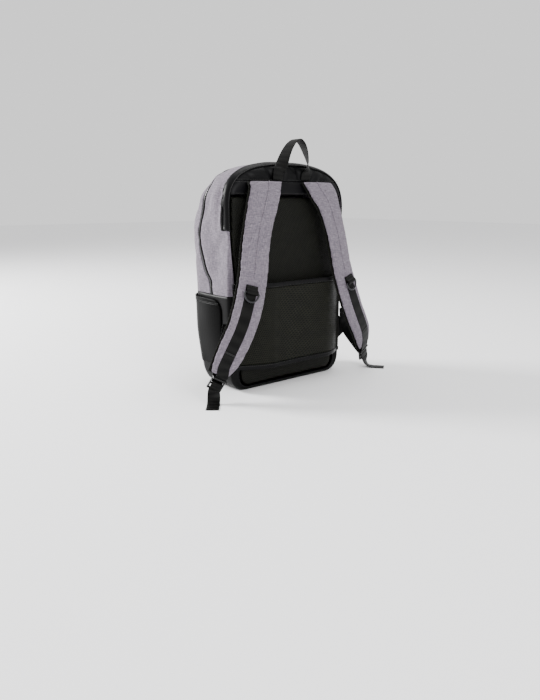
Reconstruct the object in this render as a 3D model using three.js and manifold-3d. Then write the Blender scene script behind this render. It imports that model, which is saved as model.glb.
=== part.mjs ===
// Laptop backpack that stands on its own base, with its worn side and shoulder straps towards -Y.
// Millimetres, +Z up. The origin is the centre of the flat face under the base.
import * as THREE from "three";
import { mergeVertices } from "three/addons/utils/BufferGeometryUtils.js";
import Module from "manifold-3d";

const wasm = await Module();
wasm.setup();

// Bag body
const bagWidth = 300;
const bagHeight = 452;
const bagDepth = 152;
const baseCorner = 40; // round of the two lower corners, seen from the back
const shoulderDrop = 82; // height over which each side turns into the crown
const crownReach = 80; // how far from the middle the crown starts to level out
const sideBulge = 6; // how far the filled sides stand out between their seams
const frontBulge = 4; // crown of the front face
const fabricWall = 2;
const foldReach = 20; // how far a fold spreads to each side
const foldDepth = 6;
const frontEdgeRound = 44; // round between the sides and the front face
const backEdgeRound = 24; // round between the back face and the crown
const backMargin = 30; // strip of the back face that the side fabric may wrap onto
const seamGap = 0.6; // clearance between two pieces that are sewn edge to edge
const layGap = 0.3; // clearance between two pieces that lie on each other

// Seams and trims
const baseSeamHeight = 196; // where the grey fabric meets the black base
const zipSpace = 9; // strip left open for the main zip
const zipTapeWall = 1;
const zipCoilWidth = 5.5;
const zipCoilRise = 1.2;
const sliderLength = 12;
const sliderWidth = 8;
const sliderRise = 3;
const sliderHeight = 285;
const bandWidth = 15; // black band round the top back edge
const bandWall = 1.5;
const bandLift = 0.9; // clearance of the band over the side fabric
const bandEndDrop = 129; // how far below the crown the band ends

// Worn side
const padWall = 12;
const padPuff = 3;
const yokeWall = 4;
const sewnWall = 4; // thickness of the pad along its seams
const strapSeamDrop = 36; // how far below the crown the seam lies that holds the shoulder straps
const yokeBand = 26; // height of the yoke's lower panel, between the mesh pad and the strap seam
const sleeveTop = 220;
const sleeveBottom = 46;
const sleeveBow = 26; // how far the sleeve stands off the pad
const sleeveWall = 3;
const bindingHeight = 9;
const bindingWall = 4;

// Side pockets
const pocketTop = 188;
const pocketBottom = 48;
const pocketRear = 25; // distance of the rear edge from the back plane
const pocketCorner = 26; // round of the rear top corner
const pocketBulge = 6;
const pocketLift = 0.5; // clearance of a pocket's sewn edges over the base
const pocketWall = 1.5;
const pocketFrontStep = 3.55; // its front edge lies near the end of the bag's front round
const hemHeight = 9;
const hemWall = 2;

// Shoulder straps and webbing
const strapWidth = 68;
const strapWall = 7;
const liningWall = 2;
const liningLip = 1.2; // how far the lining shows beside the grey face
const strapStand = 45; // how far the straps hang off the back
const webbingWidth = 25;
const webbingWall = 1.6;
const webbingShift = 4.5; // how far outside the strap's middle its webbing runs
const ringWire = 1.8; // radius of the D-ring's wire
const ringWidth = 32;
const ringDrop = 18;
const ringTabLength = 14;
const lockWidth = 32;
const lockBar = 4;
const lockWall = 4;
const lockUpperSlot = 8;
const lockLowerSlot = 6;
const lockShift = 5.5; // how far inside the strap's middle the ladder lock hangs
const lockGap = 4; // clearance between the strap's end and the ladder lock
const lipWall = 1.4; // lip of the ladder lock, in front of its top bar
const tailLength = 62; // free webbing below the ladder lock
const anchorTop = 132;
const anchorBottom = 62;
const anchorReach = 20;
const anchorWall = 2;

// Grab handle
const handleSpread = 74; // distance between its two feet
const handlePeak = 46; // height of the loop above the crown

const halfWidth = bagWidth / 2;
const halfHeight = bagHeight / 2;
const bandEndHeight = bagHeight - bandEndDrop;
const strapSeamHeight = bagHeight - strapSeamDrop;
const padTopHeight = strapSeamHeight - yokeBand;

// Side view of the bag: how deep it is at each height, and the share of the front edge's round
const depthProfile = [
  { height: 0, depth: 0.7, frontRound: 0.409 },
  { height: 0.11, depth: 0.82, frontRound: 0.614 },
  { height: 0.24, depth: 0.9, frontRound: 0.795 },
  { height: 0.43, depth: 0.94, frontRound: 0.909 },
  { height: 0.7, depth: 1, frontRound: 1 },
  { height: 0.86, depth: 0.87, frontRound: 0.955 },
  { height: 0.95, depth: 0.67, frontRound: 0.818 },
  { height: 1, depth: 0.48, frontRound: 0.682 },
];

// Share of the back edge's round, which grows to the slope of the yoke at the crown
const backProfile = [
  { height: 0, round: 0.208 },
  { height: 0.5, round: 0.333 },
  { height: 0.88, round: 0.417 },
  { height: 1, round: 1 },
];

// Where the worn side's panels meet the side fabric, in section steps
const backSeam = [
  { height: 0, step: 0.9 },
  { height: 0.04, step: 0.62 },
  { height: 0.09, step: 0.35 },
  { height: 0.25, step: 0.45 },
  { height: 0.52, step: 1 },
  { height: 0.64, step: 1.4 },
  { height: 0.72, step: 1.6 },
  { height: 0.86, step: 1.7 },
  { height: 1, step: 1.75 },
];

// Middle of the main zip, in section steps
const zipLine = [
  { height: 0.4, step: 2.5 },
  { height: 0.57, step: 2.78 },
  { height: 0.68, step: 2.93 },
  { height: 0.82, step: 2.9 },
  { height: 0.92, step: 3.02 },
  { height: 1, step: 3.3 },
];

// Pleats, dents and crumples: a line pressed into the fabric, its ends as shares of the half width,
// the depth and the height, and how far it reaches and drops of a fold's
const folds = [
  { fromX: -0.9, fromY: 0.62, fromZ: 0.93, toX: -0.98, toY: 0.9, toZ: 0.8, reach: 0.85, drop: 1 },
  { fromX: -0.97, fromY: 0.5, fromZ: 0.9, toX: -1.02, toY: 0.72, toZ: 0.76, reach: 0.75, drop: 0.667 },
  { fromX: -1.02, fromY: 0.12, fromZ: 0.68, toX: -1.02, toY: 0.3, toZ: 0.58, reach: 0.75, drop: 0.833 },
  { fromX: -1.03, fromY: 0.16, fromZ: 0.55, toX: -1.03, toY: 0.52, toZ: 0.47, reach: 0.9, drop: 0.667 },
  { fromX: -1.03, fromY: 0.42, fromZ: 0.8, toX: -1.03, toY: 0.34, toZ: 0.62, reach: 1, drop: 0.667 },
  { fromX: 0.92, fromY: 0.64, fromZ: 0.92, toX: 0.98, toY: 0.88, toZ: 0.79, reach: 0.9, drop: 0.833 },
  { fromX: 1.02, fromY: 0.14, fromZ: 0.64, toX: 1.02, toY: 0.45, toZ: 0.52, reach: 0.9, drop: 0.667 },
  { fromX: 1.02, fromY: 0.4, fromZ: 0.78, toX: 1.02, toY: 0.3, toZ: 0.66, reach: 1, drop: 0.5 },
  { fromX: -0.5, fromY: 1, fromZ: 0.5, toX: 0.45, toY: 1, toZ: 0.46, reach: 1.5, drop: 0.667 },
  { fromX: -0.7, fromY: 0.95, fromZ: 0.18, toX: 0.7, toY: 0.95, toZ: 0.16, reach: 1.3, drop: 0.5 },
];

// Centre line of a shoulder strap: across as shares of the half width, out of the strap's stand,
// up of the strap seam's height and wide of the strap's width
const strapLine = [
  { across: 0.457, out: 0.08, up: 0.9974, wide: 1.2 },
  { across: 0.5, out: 0.28, up: 0.9562, wide: 1.1 },
  { across: 0.575, out: 0.44, up: 0.8975, wide: 1.02 },
  { across: 0.673, out: 0.54, up: 0.7932, wide: 0.95 },
  { across: 0.74, out: 0.62, up: 0.69, wide: 0.94 },
  { across: 0.797, out: 0.72, up: 0.577, wide: 0.95 },
  { across: 0.906, out: 0.86, up: 0.4444, wide: 0.97 },
  { across: 1.035, out: 0.91, up: 0.3368, wide: 0.95 },
  { across: 1.155, out: 0.89, up: 0.2597, wide: 0.93 },
  { across: 1.24, out: 0.82, up: 0.2043, wide: 0.87 },
  { across: 1.345, out: 0.6, up: 0.1304, wide: 0.64 },
];

// Trolley sleeve seen from above: across as shares of the half width, out of the sleeve's bow
const sleeveLine = [
  { across: -0.975, out: 0 },
  { across: -0.93, out: 0 },
  { across: -0.84, out: 0.12 },
  { across: -0.72, out: 0.46 },
  { across: -0.58, out: 0.82 },
  { across: -0.44, out: 1 },
  { across: -0.3, out: 0.97 },
  { across: 0, out: 0.9 },
  { across: 0.3, out: 0.93 },
  { across: 0.5, out: 1 },
  { across: 0.62, out: 0.95 },
  { across: 0.75, out: 0.66 },
  { across: 0.86, out: 0.26 },
  { across: 0.93, out: 0 },
  { across: 0.975, out: 0 },
];

// Grab handle: across as shares of half its spread, up of its rise, leaning in shares of the webbing's
// width, and the turn of the webbing in degrees
const handleLine = [
  { across: -0.88, up: 0, lean: 0, turn: 0 },
  { across: -0.88, up: 0.15, lean: -0.05, turn: -3 },
  { across: -0.8, up: 0.29, lean: -0.2, turn: -30 },
  { across: -0.65, up: 0.43, lean: -0.16, turn: -52 },
  { across: -0.43, up: 0.6, lean: -0.06, turn: -66 },
  { across: -0.16, up: 0.77, lean: 0.04, turn: -76 },
  { across: 0.16, up: 0.925, lean: 0.07, turn: -84 },
  { across: 0.5, up: 1, lean: 0.08, turn: -90 },
  { across: 0.8, up: 0.925, lean: 0.07, turn: -95 },
  { across: 1, up: 0.785, lean: 0.04, turn: -101 },
  { across: 1.11, up: 0.61, lean: -0.06, turn: -112 },
  { across: 1.17, up: 0.43, lean: -0.16, turn: -126 },
  { across: 1.16, up: 0.29, lean: -0.22, turn: -148 },
  { across: 1.11, up: 0.15, lean: -0.06, turn: -177 },
  { across: 1.11, up: 0, lean: 0, turn: -180 },
];

// A smooth curve through the rows of a table: takes the key column, gives the others by name
function curveThrough(rows, key) {
  const names = Object.keys(rows[0]).filter((name) => name !== key);
  const at = rows.map((row, index) => (key ? row[key] : index / (rows.length - 1)));
  const values = rows.flatMap((row) => names.map((name) => row[name]));
  const spline = new THREE.CubicInterpolant(at, values, names.length);
  return (where) => {
    const result = spline.evaluate(where);
    return Object.fromEntries(names.map((name, index) => [name, result[index]]));
  };
}

const depthAt = curveThrough(depthProfile, "height");
const backRoundAt = curveThrough(backProfile, "height");
const backSeamAt = curveThrough(backSeam, "height");
const zipLineAt = curveThrough(zipLine, "height");

const baseDepth = depthProfile[0].depth * bagDepth;
const baseBackRound = backProfile[0].round * backEdgeRound;
const baseFrontRound = depthProfile[0].frontRound * frontEdgeRound;
const baseMiddle = (baseBackRound + baseDepth - baseFrontRound) / 2;

// Y of a place that lies this far into the bag from its back plane
function depthToY(depth) {
  return depth - baseMiddle;
}

// The rim is half of the bag's outline seen from the back, from the middle of the base to the crown
const rim = new THREE.Path();
rim.moveTo(0, 0);
rim.lineTo(halfWidth - baseCorner, 0);
rim.quadraticCurveTo(halfWidth, 0, halfWidth, baseCorner);
rim.lineTo(halfWidth, bagHeight - shoulderDrop);
rim.bezierCurveTo(halfWidth, bagHeight - 0.12 * shoulderDrop, crownReach, bagHeight, 0, bagHeight);
const rimCells = [2, 4, 12, 10];
const crownStation = rimCells.reduce((sum, cells) => sum + cells, 0);
const cornerStation = rimCells[0];

// Point of the rim at a station, mirrored for a negative one, with its outward direction
function rimAt(station) {
  let rest = Math.min(Math.abs(station), crownStation);
  let part = 0;
  while (part < rimCells.length - 1 && rest > rimCells[part]) {
    rest -= rimCells[part];
    part += 1;
  }
  const curve = rim.curves[part];
  const share = rest / rimCells[part];
  const point = curve.getPointAt(share);
  const along = curve.getTangentAt(share);
  const mirror = station < 0 ? -1 : 1;
  return { x: mirror * point.x, z: point.y, outX: mirror * along.y, outZ: -along.x };
}

// How far a fold presses the fabric in at a point
function foldDrop(point) {
  let drop = 0;
  for (const fold of folds) {
    const line = new THREE.Line3(
      new THREE.Vector3(fold.fromX * halfWidth, depthToY(fold.fromY * bagDepth), fold.fromZ * bagHeight),
      new THREE.Vector3(fold.toX * halfWidth, depthToY(fold.toY * bagDepth), fold.toZ * bagHeight),
    );
    const nearest = line.closestPointToPoint(point, true, new THREE.Vector3());
    const away = nearest.distanceTo(point) / (fold.reach * foldReach);
    drop += fold.drop * foldDepth * Math.exp(-(away ** 2));
  }
  return drop;
}

// Share of the pad's puff at a place on the back face, none at its seams
function padSwell(x, z) {
  const across = 1 - THREE.MathUtils.smoothstep(Math.abs(x), 0.55 * halfWidth, 0.88 * halfWidth);
  const down = THREE.MathUtils.smoothstep(z, 0.04 * bagHeight, 0.14 * bagHeight);
  const up = 1 - THREE.MathUtils.smoothstep(z, 0.88 * padTopHeight, 0.99 * padTopHeight);
  return across * down * up;
}

// Point of the bag's surface. The steps run round its section: -1 is the middle of the back, 0 to 1 the
// margin of the back face, 2 to 3 the side, 4 the edge of the front face and 5 the middle of the front.
function bagPoint(station, step, lift = 0) {
  const edge = rimAt(station);
  const height = edge.z / bagHeight;
  const backRound = backRoundAt(height).round * backEdgeRound;
  const frontRound = depthAt(height).frontRound * frontEdgeRound;
  let inset = 0;
  let shrink = 1;
  let turn = 0; // 0 faces the back, 1 the side and 2 the front
  if (step < 0) {
    shrink = 1 + step;
    inset = backMargin;
  } else if (step < 1) {
    inset = THREE.MathUtils.lerp(backMargin, backRound, step);
  } else if (step < 2) {
    turn = step - 1;
    inset = backRound * (1 - Math.sin((turn * Math.PI) / 2));
  } else if (step < 3) {
    turn = 1;
  } else if (step < 4) {
    turn = step - 2;
    inset = frontRound * (1 - Math.cos(((step - 3) * Math.PI) / 2));
  } else {
    turn = 2;
    inset = frontRound;
    shrink = 5 - step;
  }
  const x = edge.x * (1 - inset / halfWidth) * shrink;
  const z = halfHeight + (edge.z - halfHeight) * (1 - inset / halfHeight) * shrink;
  const front = depthAt(z / bagHeight).depth * bagDepth;
  let depth = 0;
  if (step < 1) {
    depth = -padPuff * padSwell(x, z);
  } else if (step < 2) {
    depth = backRound * (1 - Math.cos((turn * Math.PI) / 2));
  } else if (step < 3) {
    depth = THREE.MathUtils.lerp(backRound, front - frontRound, step - 2);
  } else if (step < 4) {
    depth = front - frontRound * (1 - Math.sin(((step - 3) * Math.PI) / 2));
  } else {
    depth = front + frontBulge * (1 - shrink ** 2);
  }
  const out = new THREE.Vector3(
    edge.outX * Math.sin((turn * Math.PI) / 2),
    -Math.cos((turn * Math.PI) / 2),
    edge.outZ * Math.sin((turn * Math.PI) / 2),
  );
  const point = new THREE.Vector3(x, depthToY(depth), z);
  const filled = THREE.MathUtils.smoothstep(z / bagHeight, 0.04, 0.3) * THREE.MathUtils.smoothstep(step, 1.4, 2.5);
  const slack = 1 - THREE.MathUtils.smoothstep(step, 2.5, 4);
  const full = sideBulge * slack * Math.abs(edge.outX);
  const rise = filled * (full - (step > 1 ? foldDrop(point) : 0));
  return point.addScaledVector(out, rise + lift);
}

// A solid between rings of points, each ring as many points as the next. Its ends are closed across
// the ring, from its first half to its second, unless the rings run round into each other.
function skin(rings, closed = false) {
  const size = rings[0].length;
  const positions = rings.flat().flatMap((point) => point.toArray());
  const triangles = [];
  const last = closed ? rings.length : rings.length - 1;
  for (let ring = 0; ring < last; ring += 1) {
    const next = ((ring + 1) % rings.length) * size;
    for (let corner = 0; corner < size; corner += 1) {
      const other = (corner + 1) % size;
      const here = ring * size;
      triangles.push([here + corner, here + other, next + other], [here + corner, next + other, next + corner]);
    }
  }
  const end = (rings.length - 1) * size;
  for (let corner = 0; !closed && corner < size / 2 - 1; corner += 1) {
    const [a, b, c, d] = [corner, corner + 1, size - 2 - corner, size - 1 - corner];
    triangles.push([a, c, b], [a, d, c], [end + a, end + b, end + c], [end + a, end + c, end + d]);
  }
  const geometry = new THREE.BufferGeometry();
  geometry.setAttribute("position", new THREE.Float32BufferAttribute(positions, 3));
  geometry.setIndex(triangles.flat());
  return faceOut(welded(geometry));
}

// The same surface with its shared corners merged and its collapsed triangles dropped
function welded(geometry) {
  geometry.deleteAttribute("normal");
  geometry.deleteAttribute("uv");
  const merged = mergeVertices(geometry, 1e-3);
  const index = merged.index.array;
  const kept = [];
  for (let at = 0; at < index.length; at += 3) {
    const [a, b, c] = [index[at], index[at + 1], index[at + 2]];
    if (a !== b && b !== c && a !== c) {
      kept.push(a, b, c);
    }
  }
  merged.setIndex(kept);
  return merged;
}

// The same closed surface with its faces pointing out
function faceOut(geometry) {
  const position = geometry.getAttribute("position");
  const index = geometry.index.array;
  const [a, b, c] = [new THREE.Vector3(), new THREE.Vector3(), new THREE.Vector3()];
  let volume = 0;
  for (let at = 0; at < index.length; at += 3) {
    a.fromBufferAttribute(position, index[at]);
    b.fromBufferAttribute(position, index[at + 1]);
    c.fromBufferAttribute(position, index[at + 2]);
    volume += a.dot(b.cross(c));
  }
  if (volume < 0) {
    geometry.setIndex([...index].reverse());
  }
  return geometry;
}

function toSolid(geometry) {
  const merged = welded(geometry);
  const vertProperties = new Float32Array(merged.getAttribute("position").array);
  const triVerts = new Uint32Array(merged.index.array);
  return new wasm.Manifold(new wasm.Mesh({ numProp: 3, vertProperties, triVerts }));
}

function toGeometry(solid) {
  const mesh = solid.getMesh();
  const geometry = new THREE.BufferGeometry();
  geometry.setAttribute("position", new THREE.BufferAttribute(mesh.vertProperties, 3));
  geometry.setIndex(new THREE.BufferAttribute(mesh.triVerts, 1));
  return geometry;
}

// The stretch of a piece between two heights
function between(geometry, low, high) {
  const slab = new THREE.BoxGeometry(4 * bagWidth, 4 * bagDepth, high - low);
  slab.translate(0, 0, (low + high) / 2);
  return toGeometry(toSolid(geometry).intersect(toSolid(slab)));
}

// The step that lies a distance further along the bag's section
function stepAlong(station, step, distance) {
  const parts = 6;
  let at = step;
  for (let part = 0; part < parts; part += 1) {
    const pace = bagPoint(station, at + 0.01).distanceTo(bagPoint(station, at - 0.01)) / 0.02;
    at += distance / parts / pace;
  }
  return at;
}

// The station on the side or the shoulder whose rim lies at a height
function stationAtHeight(height) {
  let low = cornerStation;
  let high = crownStation;
  for (let halving = 0; halving < 30; halving += 1) {
    const middle = (low + high) / 2;
    if (rimAt(middle).z < height) {
      low = middle;
    } else {
      high = middle;
    }
  }
  return (low + high) / 2;
}

// The step on the side at a distance from the back plane
function stepAtDepth(station, depth) {
  const edge = rimAt(station);
  const backRound = backRoundAt(edge.z / bagHeight).round * backEdgeRound;
  const row = depthAt(edge.z / bagHeight);
  const side = row.depth * bagDepth - row.frontRound * frontEdgeRound - backRound;
  return 2 + (depth - backRound) / side;
}

function backSeamStep(station) {
  return backSeamAt(rimAt(station).z / bagHeight).step;
}

function zipStep(station) {
  return zipLineAt(rimAt(station).z / bagHeight).step;
}

// All stations round the bag, from one side of the base over the crown and back
function stationsAround() {
  return Array.from({ length: 2 * crownStation }, (unused, index) => index + 1 - crownStation);
}

// The stations above a height, from the right side over the crown to the left
function stationsAbove(height) {
  const start = stationAtHeight(height);
  const right = [start];
  for (let station = Math.ceil(start + 0.25); station < crownStation; station += 1) {
    right.push(station);
  }
  return [...right, crownStation, ...right.map((station) => -station).reverse()];
}

// Even steps from one to another
function spread(from, to, cells) {
  return Array.from({ length: cells + 1 }, (unused, cell) => from + ((to - from) * cell) / cells);
}

// A sheet on the bag's surface through the steps of each station, from one lift to another
function sheet(stations, stepsAt, inner, outer, closed = false) {
  const rings = stations.map((station) => {
    const steps = stepsAt(station);
    const last = steps.length - 1;
    const lift = (value, index) => (typeof value === "function" ? value(station, index / last) : value);
    const outside = steps.map((step, index) => bagPoint(station, step, lift(outer, index)));
    const inside = steps.map((step, index) => bagPoint(station, step, lift(inner, index)));
    return [...outside, ...inside.reverse()];
  });
  return skin(rings, closed);
}

// Body panels
function frontShell() {
  const steps = (station) => spread(stepAlong(station, zipStep(station), zipSpace / 2), 5, 8);
  const shell = sheet(stationsAround(), steps, -fabricWall, 0, true);
  return between(shell, baseSeamHeight + seamGap / 2, 2 * bagHeight);
}

function rearGusset() {
  const steps = (station) => {
    const from = stepAlong(station, backSeamStep(station), seamGap / 2);
    const to = stepAlong(station, zipStep(station), -zipSpace / 2);
    return [...spread(from, 2, 3), ...spread(2, to, 3).slice(1)];
  };
  const shell = sheet(stationsAround(), steps, -fabricWall, 0, true);
  return between(shell, baseSeamHeight + seamGap / 2, 2 * bagHeight);
}

function baseTub() {
  const steps = (station) => {
    const from = stepAlong(station, backSeamStep(station), seamGap / 2);
    return [...spread(from, 2, 3), ...spread(2, 3, 3).slice(1), ...spread(3, 5, 5).slice(1)];
  };
  const shell = sheet(stationsAround(), steps, -fabricWall, 0, true);
  return between(shell, -bagHeight, baseSeamHeight - seamGap / 2);
}

// A strip along the main zip
function zipStrip(width, inner, outer) {
  const steps = (station) =>
    spread(stepAlong(station, zipStep(station), -width / 2), stepAlong(station, zipStep(station), width / 2), 2);
  return sheet(stationsAbove(baseSeamHeight + seamGap), steps, inner, outer);
}

function zipTape() {
  return zipStrip(zipSpace - 3 * seamGap, -2 * zipTapeWall, -zipTapeWall);
}

function zipCoil() {
  return zipStrip(zipCoilWidth, 2 * layGap - zipTapeWall, zipCoilRise);
}

function zipSlider() {
  const middle = stationAtHeight(sliderHeight);
  const top = stationAtHeight(sliderHeight + sliderLength);
  const low = stationAtHeight(sliderHeight - 2 * sliderLength);
  const block = (stations, width, inner, outer) => {
    const steps = (station) => {
      const line = zipStep(station);
      return spread(stepAlong(station, line, -width / 2), stepAlong(station, line, width / 2), 2);
    };
    return toSolid(sheet(stations, steps, inner, outer));
  };
  const base = zipCoilRise + layGap;
  const slide = block([middle, top], sliderWidth, base, base + sliderRise);
  const pull = block([low, (middle + top) / 2], sliderWidth / 2, base + sliderRise / 2, base + sliderRise);
  return toGeometry(slide.add(pull));
}

function topBand() {
  const steps = (station) => {
    const from = backSeamStep(station) - 0.2;
    const to = stepAlong(station, from, bandWidth);
    return [...spread(from, Math.min(2, to - 0.05), 3), to];
  };
  return sheet(stationsAbove(bandEndHeight), steps, bandLift, bandLift + bandWall);
}

// A panel of the worn side between two seams
function backPanel(wall, low, high, start = -0.25, cells = 3) {
  const steps = (station) => spread(start, stepAlong(station, backSeamStep(station), -seamGap / 2), cells);
  const inner = (station, across) => -(across < 1 ? wall : Math.min(wall, sewnWall));
  return between(sheet(stationsAround(), steps, inner, 0, true), low, high);
}

// Place on the trolley sleeve at a share of its line, with the direction that it faces
const sleeveAt = curveThrough(sleeveLine);
function sleevePoint(share) {
  const place = (at) => {
    const row = sleeveAt(THREE.MathUtils.clamp(at, 0, 1));
    return new THREE.Vector3(row.across * halfWidth, depthToY(-layGap - Math.max(0, row.out) * sleeveBow), 0);
  };
  const along = place(share + 0.01).sub(place(share - 0.01)).normalize();
  return { point: place(share), face: new THREE.Vector3(along.y, -along.x, 0) };
}

function sleevePart(low, high, wall) {
  const rings = spread(0, 1, 22).map((share) => {
    const { point, face } = sleevePoint(share);
    const outside = point.clone().addScaledVector(face, wall);
    const corners = [
      [outside, low],
      [outside, high],
      [point, high],
      [point, low],
    ];
    return corners.map(([corner, height]) => corner.clone().setZ(height));
  });
  return skin(rings);
}

// A stretch of a side pocket's cloth, which stands off the bag most at the middle of its mouth
function pocketSheet(side, low, high, cells, wall) {
  const rearDepth = (height) => {
    const into = Math.max(0, (height - pocketTop + pocketCorner) / pocketCorner);
    return pocketRear + pocketCorner * (1 - Math.sqrt(Math.max(0, 1 - into ** 2)));
  };
  const lift = (station, across) => {
    const height = (rimAt(station).z - pocketBottom) / (pocketTop - pocketBottom);
    const open = Math.sin((Math.PI / 2) * THREE.MathUtils.clamp(height, 0, 1));
    return pocketLift + pocketBulge * Math.sin(Math.PI * across ** 0.7) * open;
  };
  const stations = spread(low, high, cells).map((height) => side * stationAtHeight(height));
  const steps = (station) => spread(stepAtDepth(station, rearDepth(rimAt(station).z)), pocketFrontStep, 6);
  return sheet(stations, steps, lift, (...where) => lift(...where) + wall);
}

function sidePocket(side) {
  return pocketSheet(side, pocketBottom, pocketTop - hemHeight - layGap, 7, pocketWall);
}

function pocketHem(side) {
  return pocketSheet(side, pocketTop - hemHeight, pocketTop - 0.5, 2, hemWall);
}

// Shoulder straps. A side is -1 for the one on the left of a person facing the worn side, 1 for the right.
const strapAt = curveThrough(strapLine);
const strapTurn = THREE.MathUtils.degToRad(9); // how far the straps' faces turn outwards

function strapPoint(side, share) {
  const row = strapAt(THREE.MathUtils.clamp(share, 0, 1));
  const stand = depthToY(-row.out * strapStand);
  return new THREE.Vector3(side * row.across * halfWidth, stand, row.up * strapSeamHeight);
}

// Place on a strap: its middle, the way down along it, the way its face looks and the way across to +X
function strapFrame(side, share) {
  const point = strapPoint(side, share);
  const ahead = strapPoint(side, share + 0.01);
  const down = ahead.sub(strapPoint(side, share - 0.01)).normalize();
  const free = THREE.MathUtils.smoothstep(share, 0, 0.22); // none at the top end, cut along the level seam
  const face = new THREE.Vector3(side * Math.sin(free * strapTurn), -Math.cos(free * strapTurn), 0);
  face.addScaledVector(down, -face.dot(down)).normalize();
  const square = face.clone().cross(down);
  const across = square.lerp(new THREE.Vector3(1, 0, 0), 1 - free).normalize();
  return { point, down, face, across, width: strapAt(share).wide * strapWidth };
}

// Point given in a frame: across it, up along the strap and out from its face
function inFrame(frame, across, up, out) {
  return frame.point
    .clone()
    .addScaledVector(frame.across, across)
    .addScaledVector(frame.down, -up)
    .addScaledVector(frame.face, out);
}

// Sweep of a section down a strap: rows of [share of the half width, lift], face first, then back
function alongStrap(side, cells, lip, section) {
  const rings = spread(0, 1, cells).map((share) => {
    const frame = strapFrame(side, share);
    return section.map(([across, lift]) => inFrame(frame, across * (frame.width / 2 + lip), 0, lift));
  });
  return skin(rings);
}

// Padded body of a strap, with the seam pressed into the middle of its face
const strapSection = [
  { across: -1, rise: 0.6 },
  { across: -0.86, rise: 0.95 },
  { across: -0.1, rise: 1 },
  { across: 0, rise: 0.82 },
  { across: 0.1, rise: 1 },
  { across: 0.86, rise: 0.95 },
  { across: 1, rise: 0.6 },
];

function strapPad(side) {
  const face = strapSection.map((row) => [row.across, row.rise * strapWall]);
  const back = [1, 1, 0, 0, 0, -1, -1].map((across) => [across, 0]); // three corners, each met by the face's
  return alongStrap(side, 17, 0, [...face, ...back]);
}

function strapLining(side) {
  const back = [-1, 0, 1].map((across) => [across, -layGap - liningWall]);
  const front = [1, 0, -1].map((across) => [across, -layGap]);
  return alongStrap(side, 17, liningLip, [...back, ...front]);
}

// A flat ribbon along a route of points, each with the direction across the ribbon
function ribbon(route, width, wall) {
  const rings = route.map(({ point, across }, index) => {
    const before = route[Math.max(0, index - 1)].point;
    const after = route[Math.min(route.length - 1, index + 1)].point;
    const along = after.clone().sub(before).normalize();
    const wide = across.clone().addScaledVector(along, -across.dot(along)).setLength(width / 2);
    const thick = wide.clone().cross(along).setLength(wall / 2);
    return [
      point.clone().add(wide).add(thick),
      point.clone().sub(wide).add(thick),
      point.clone().sub(wide).sub(thick),
      point.clone().add(wide).sub(thick),
    ];
  });
  return skin(rings);
}

// A smooth route through stops, each a point with the direction across
function routeThrough(stops, cells) {
  const points = new THREE.CatmullRomCurve3(stops.map((stop) => stop.point), false, "centripetal");
  const turns = new THREE.CatmullRomCurve3(stops.map((stop) => stop.across), false, "centripetal");
  return spread(0, 1, cells).map((share) => ({
    point: points.getPoint(share),
    across: turns.getPoint(share),
  }));
}

// Lifts of the layers that lie on a strap's face, at their middles
const webbingLift = strapWall + layGap + webbingWall / 2;
const tabWall = 1.2;
const tabLift = webbingLift + webbingWall / 2 + layGap + tabWall / 2;
const ringLift = tabLift + tabWall + layGap + ringWire;
const ringShare = 0.562; // how far down the strap the D-ring hangs

// Middle bar of a ladder lock: how far it hangs below the strap's end and off its back
const lockDrop = lockBar * 1.5 + lockUpperSlot + lockGap;
const lockLift = 3;

function lockFrame(side) {
  const frame = strapFrame(side, 1);
  frame.point = inFrame(frame, -side * lockShift, -lockDrop, lockLift);
  return frame;
}

// Place on a strap where its webbing runs, a share of the shift outside the middle
function webbingFrame(side, share, shift = 1) {
  const frame = strapFrame(side, share);
  frame.point = inFrame(frame, side * shift * webbingShift, 0, 0);
  return frame;
}

// Webbing from under the D-ring's tab down the strap, round the top bar of the ladder lock
function strapWebbing(side) {
  const ring = webbingFrame(side, ringShare);
  const top = { point: inFrame(ring, 0, ringTabLength, webbingLift), across: ring.across };
  const shares = [
    [ringShare, 1],
    [0.64, 1],
    [0.72, 1],
    [0.8, 1],
    [0.88, 0.9],
    [0.95, 0.3],
  ];
  const onStrap = shares.map(([share, shift]) => {
    const frame = webbingFrame(side, share, shift);
    return { point: inFrame(frame, 0, 0, webbingLift), across: frame.across };
  });
  const lock = lockFrame(side);
  const barMiddle = lockBar + lockUpperSlot;
  const reach = (lockWall + webbingWall) / 2 + layGap + 0.2;
  const below = (lockBar + webbingWall) / 2 + layGap + 0.2;
  const roundBar = [
    [lockBar + 3.4, webbingLift - lockLift + 0.3],
    [lockBar / 2 + 2, reach + 0.9],
    [0, reach],
    [-lockBar / 2 - 0.6, reach - 0.3],
    [-below, reach / 2],
    [-below, 0],
    [-below, -reach / 2],
    [-lockBar / 2 - 0.6, 0.3 - reach],
    [0, -reach],
    [lockBar / 2, -reach],
  ];
  const wrapped = roundBar.map(([up, out]) => ({
    point: inFrame(lock, 0, barMiddle + up, out),
    across: lock.across,
  }));
  return ribbon(routeThrough([top, ...onStrap, ...wrapped], 32), webbingWidth, webbingWall);
}

// Tab sewn over the webbing that holds the D-ring by its straight side
function ringTab(side) {
  const frame = webbingFrame(side, ringShare);
  const round = ringLift - tabLift + 0.1;
  const path = [
    [ringTabLength, tabLift],
    [ringTabLength / 2, tabLift],
    [round * 0.6, tabLift],
    [-round * 0.7, ringLift - round * 0.7],
    [-round, ringLift],
    [-round * 0.7, ringLift + round * 0.7],
    [0, ringLift + round],
    [round, ringLift + round * 0.9],
    [ringTabLength / 2, tabLift + tabWall + 1.6],
    [ringTabLength, tabLift + tabWall + layGap],
  ];
  const stops = path.map(([up, out]) => ({ point: inFrame(frame, 0, up, out), across: frame.across }));
  return ribbon(routeThrough(stops, 14), webbingWidth, tabWall);
}

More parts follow.
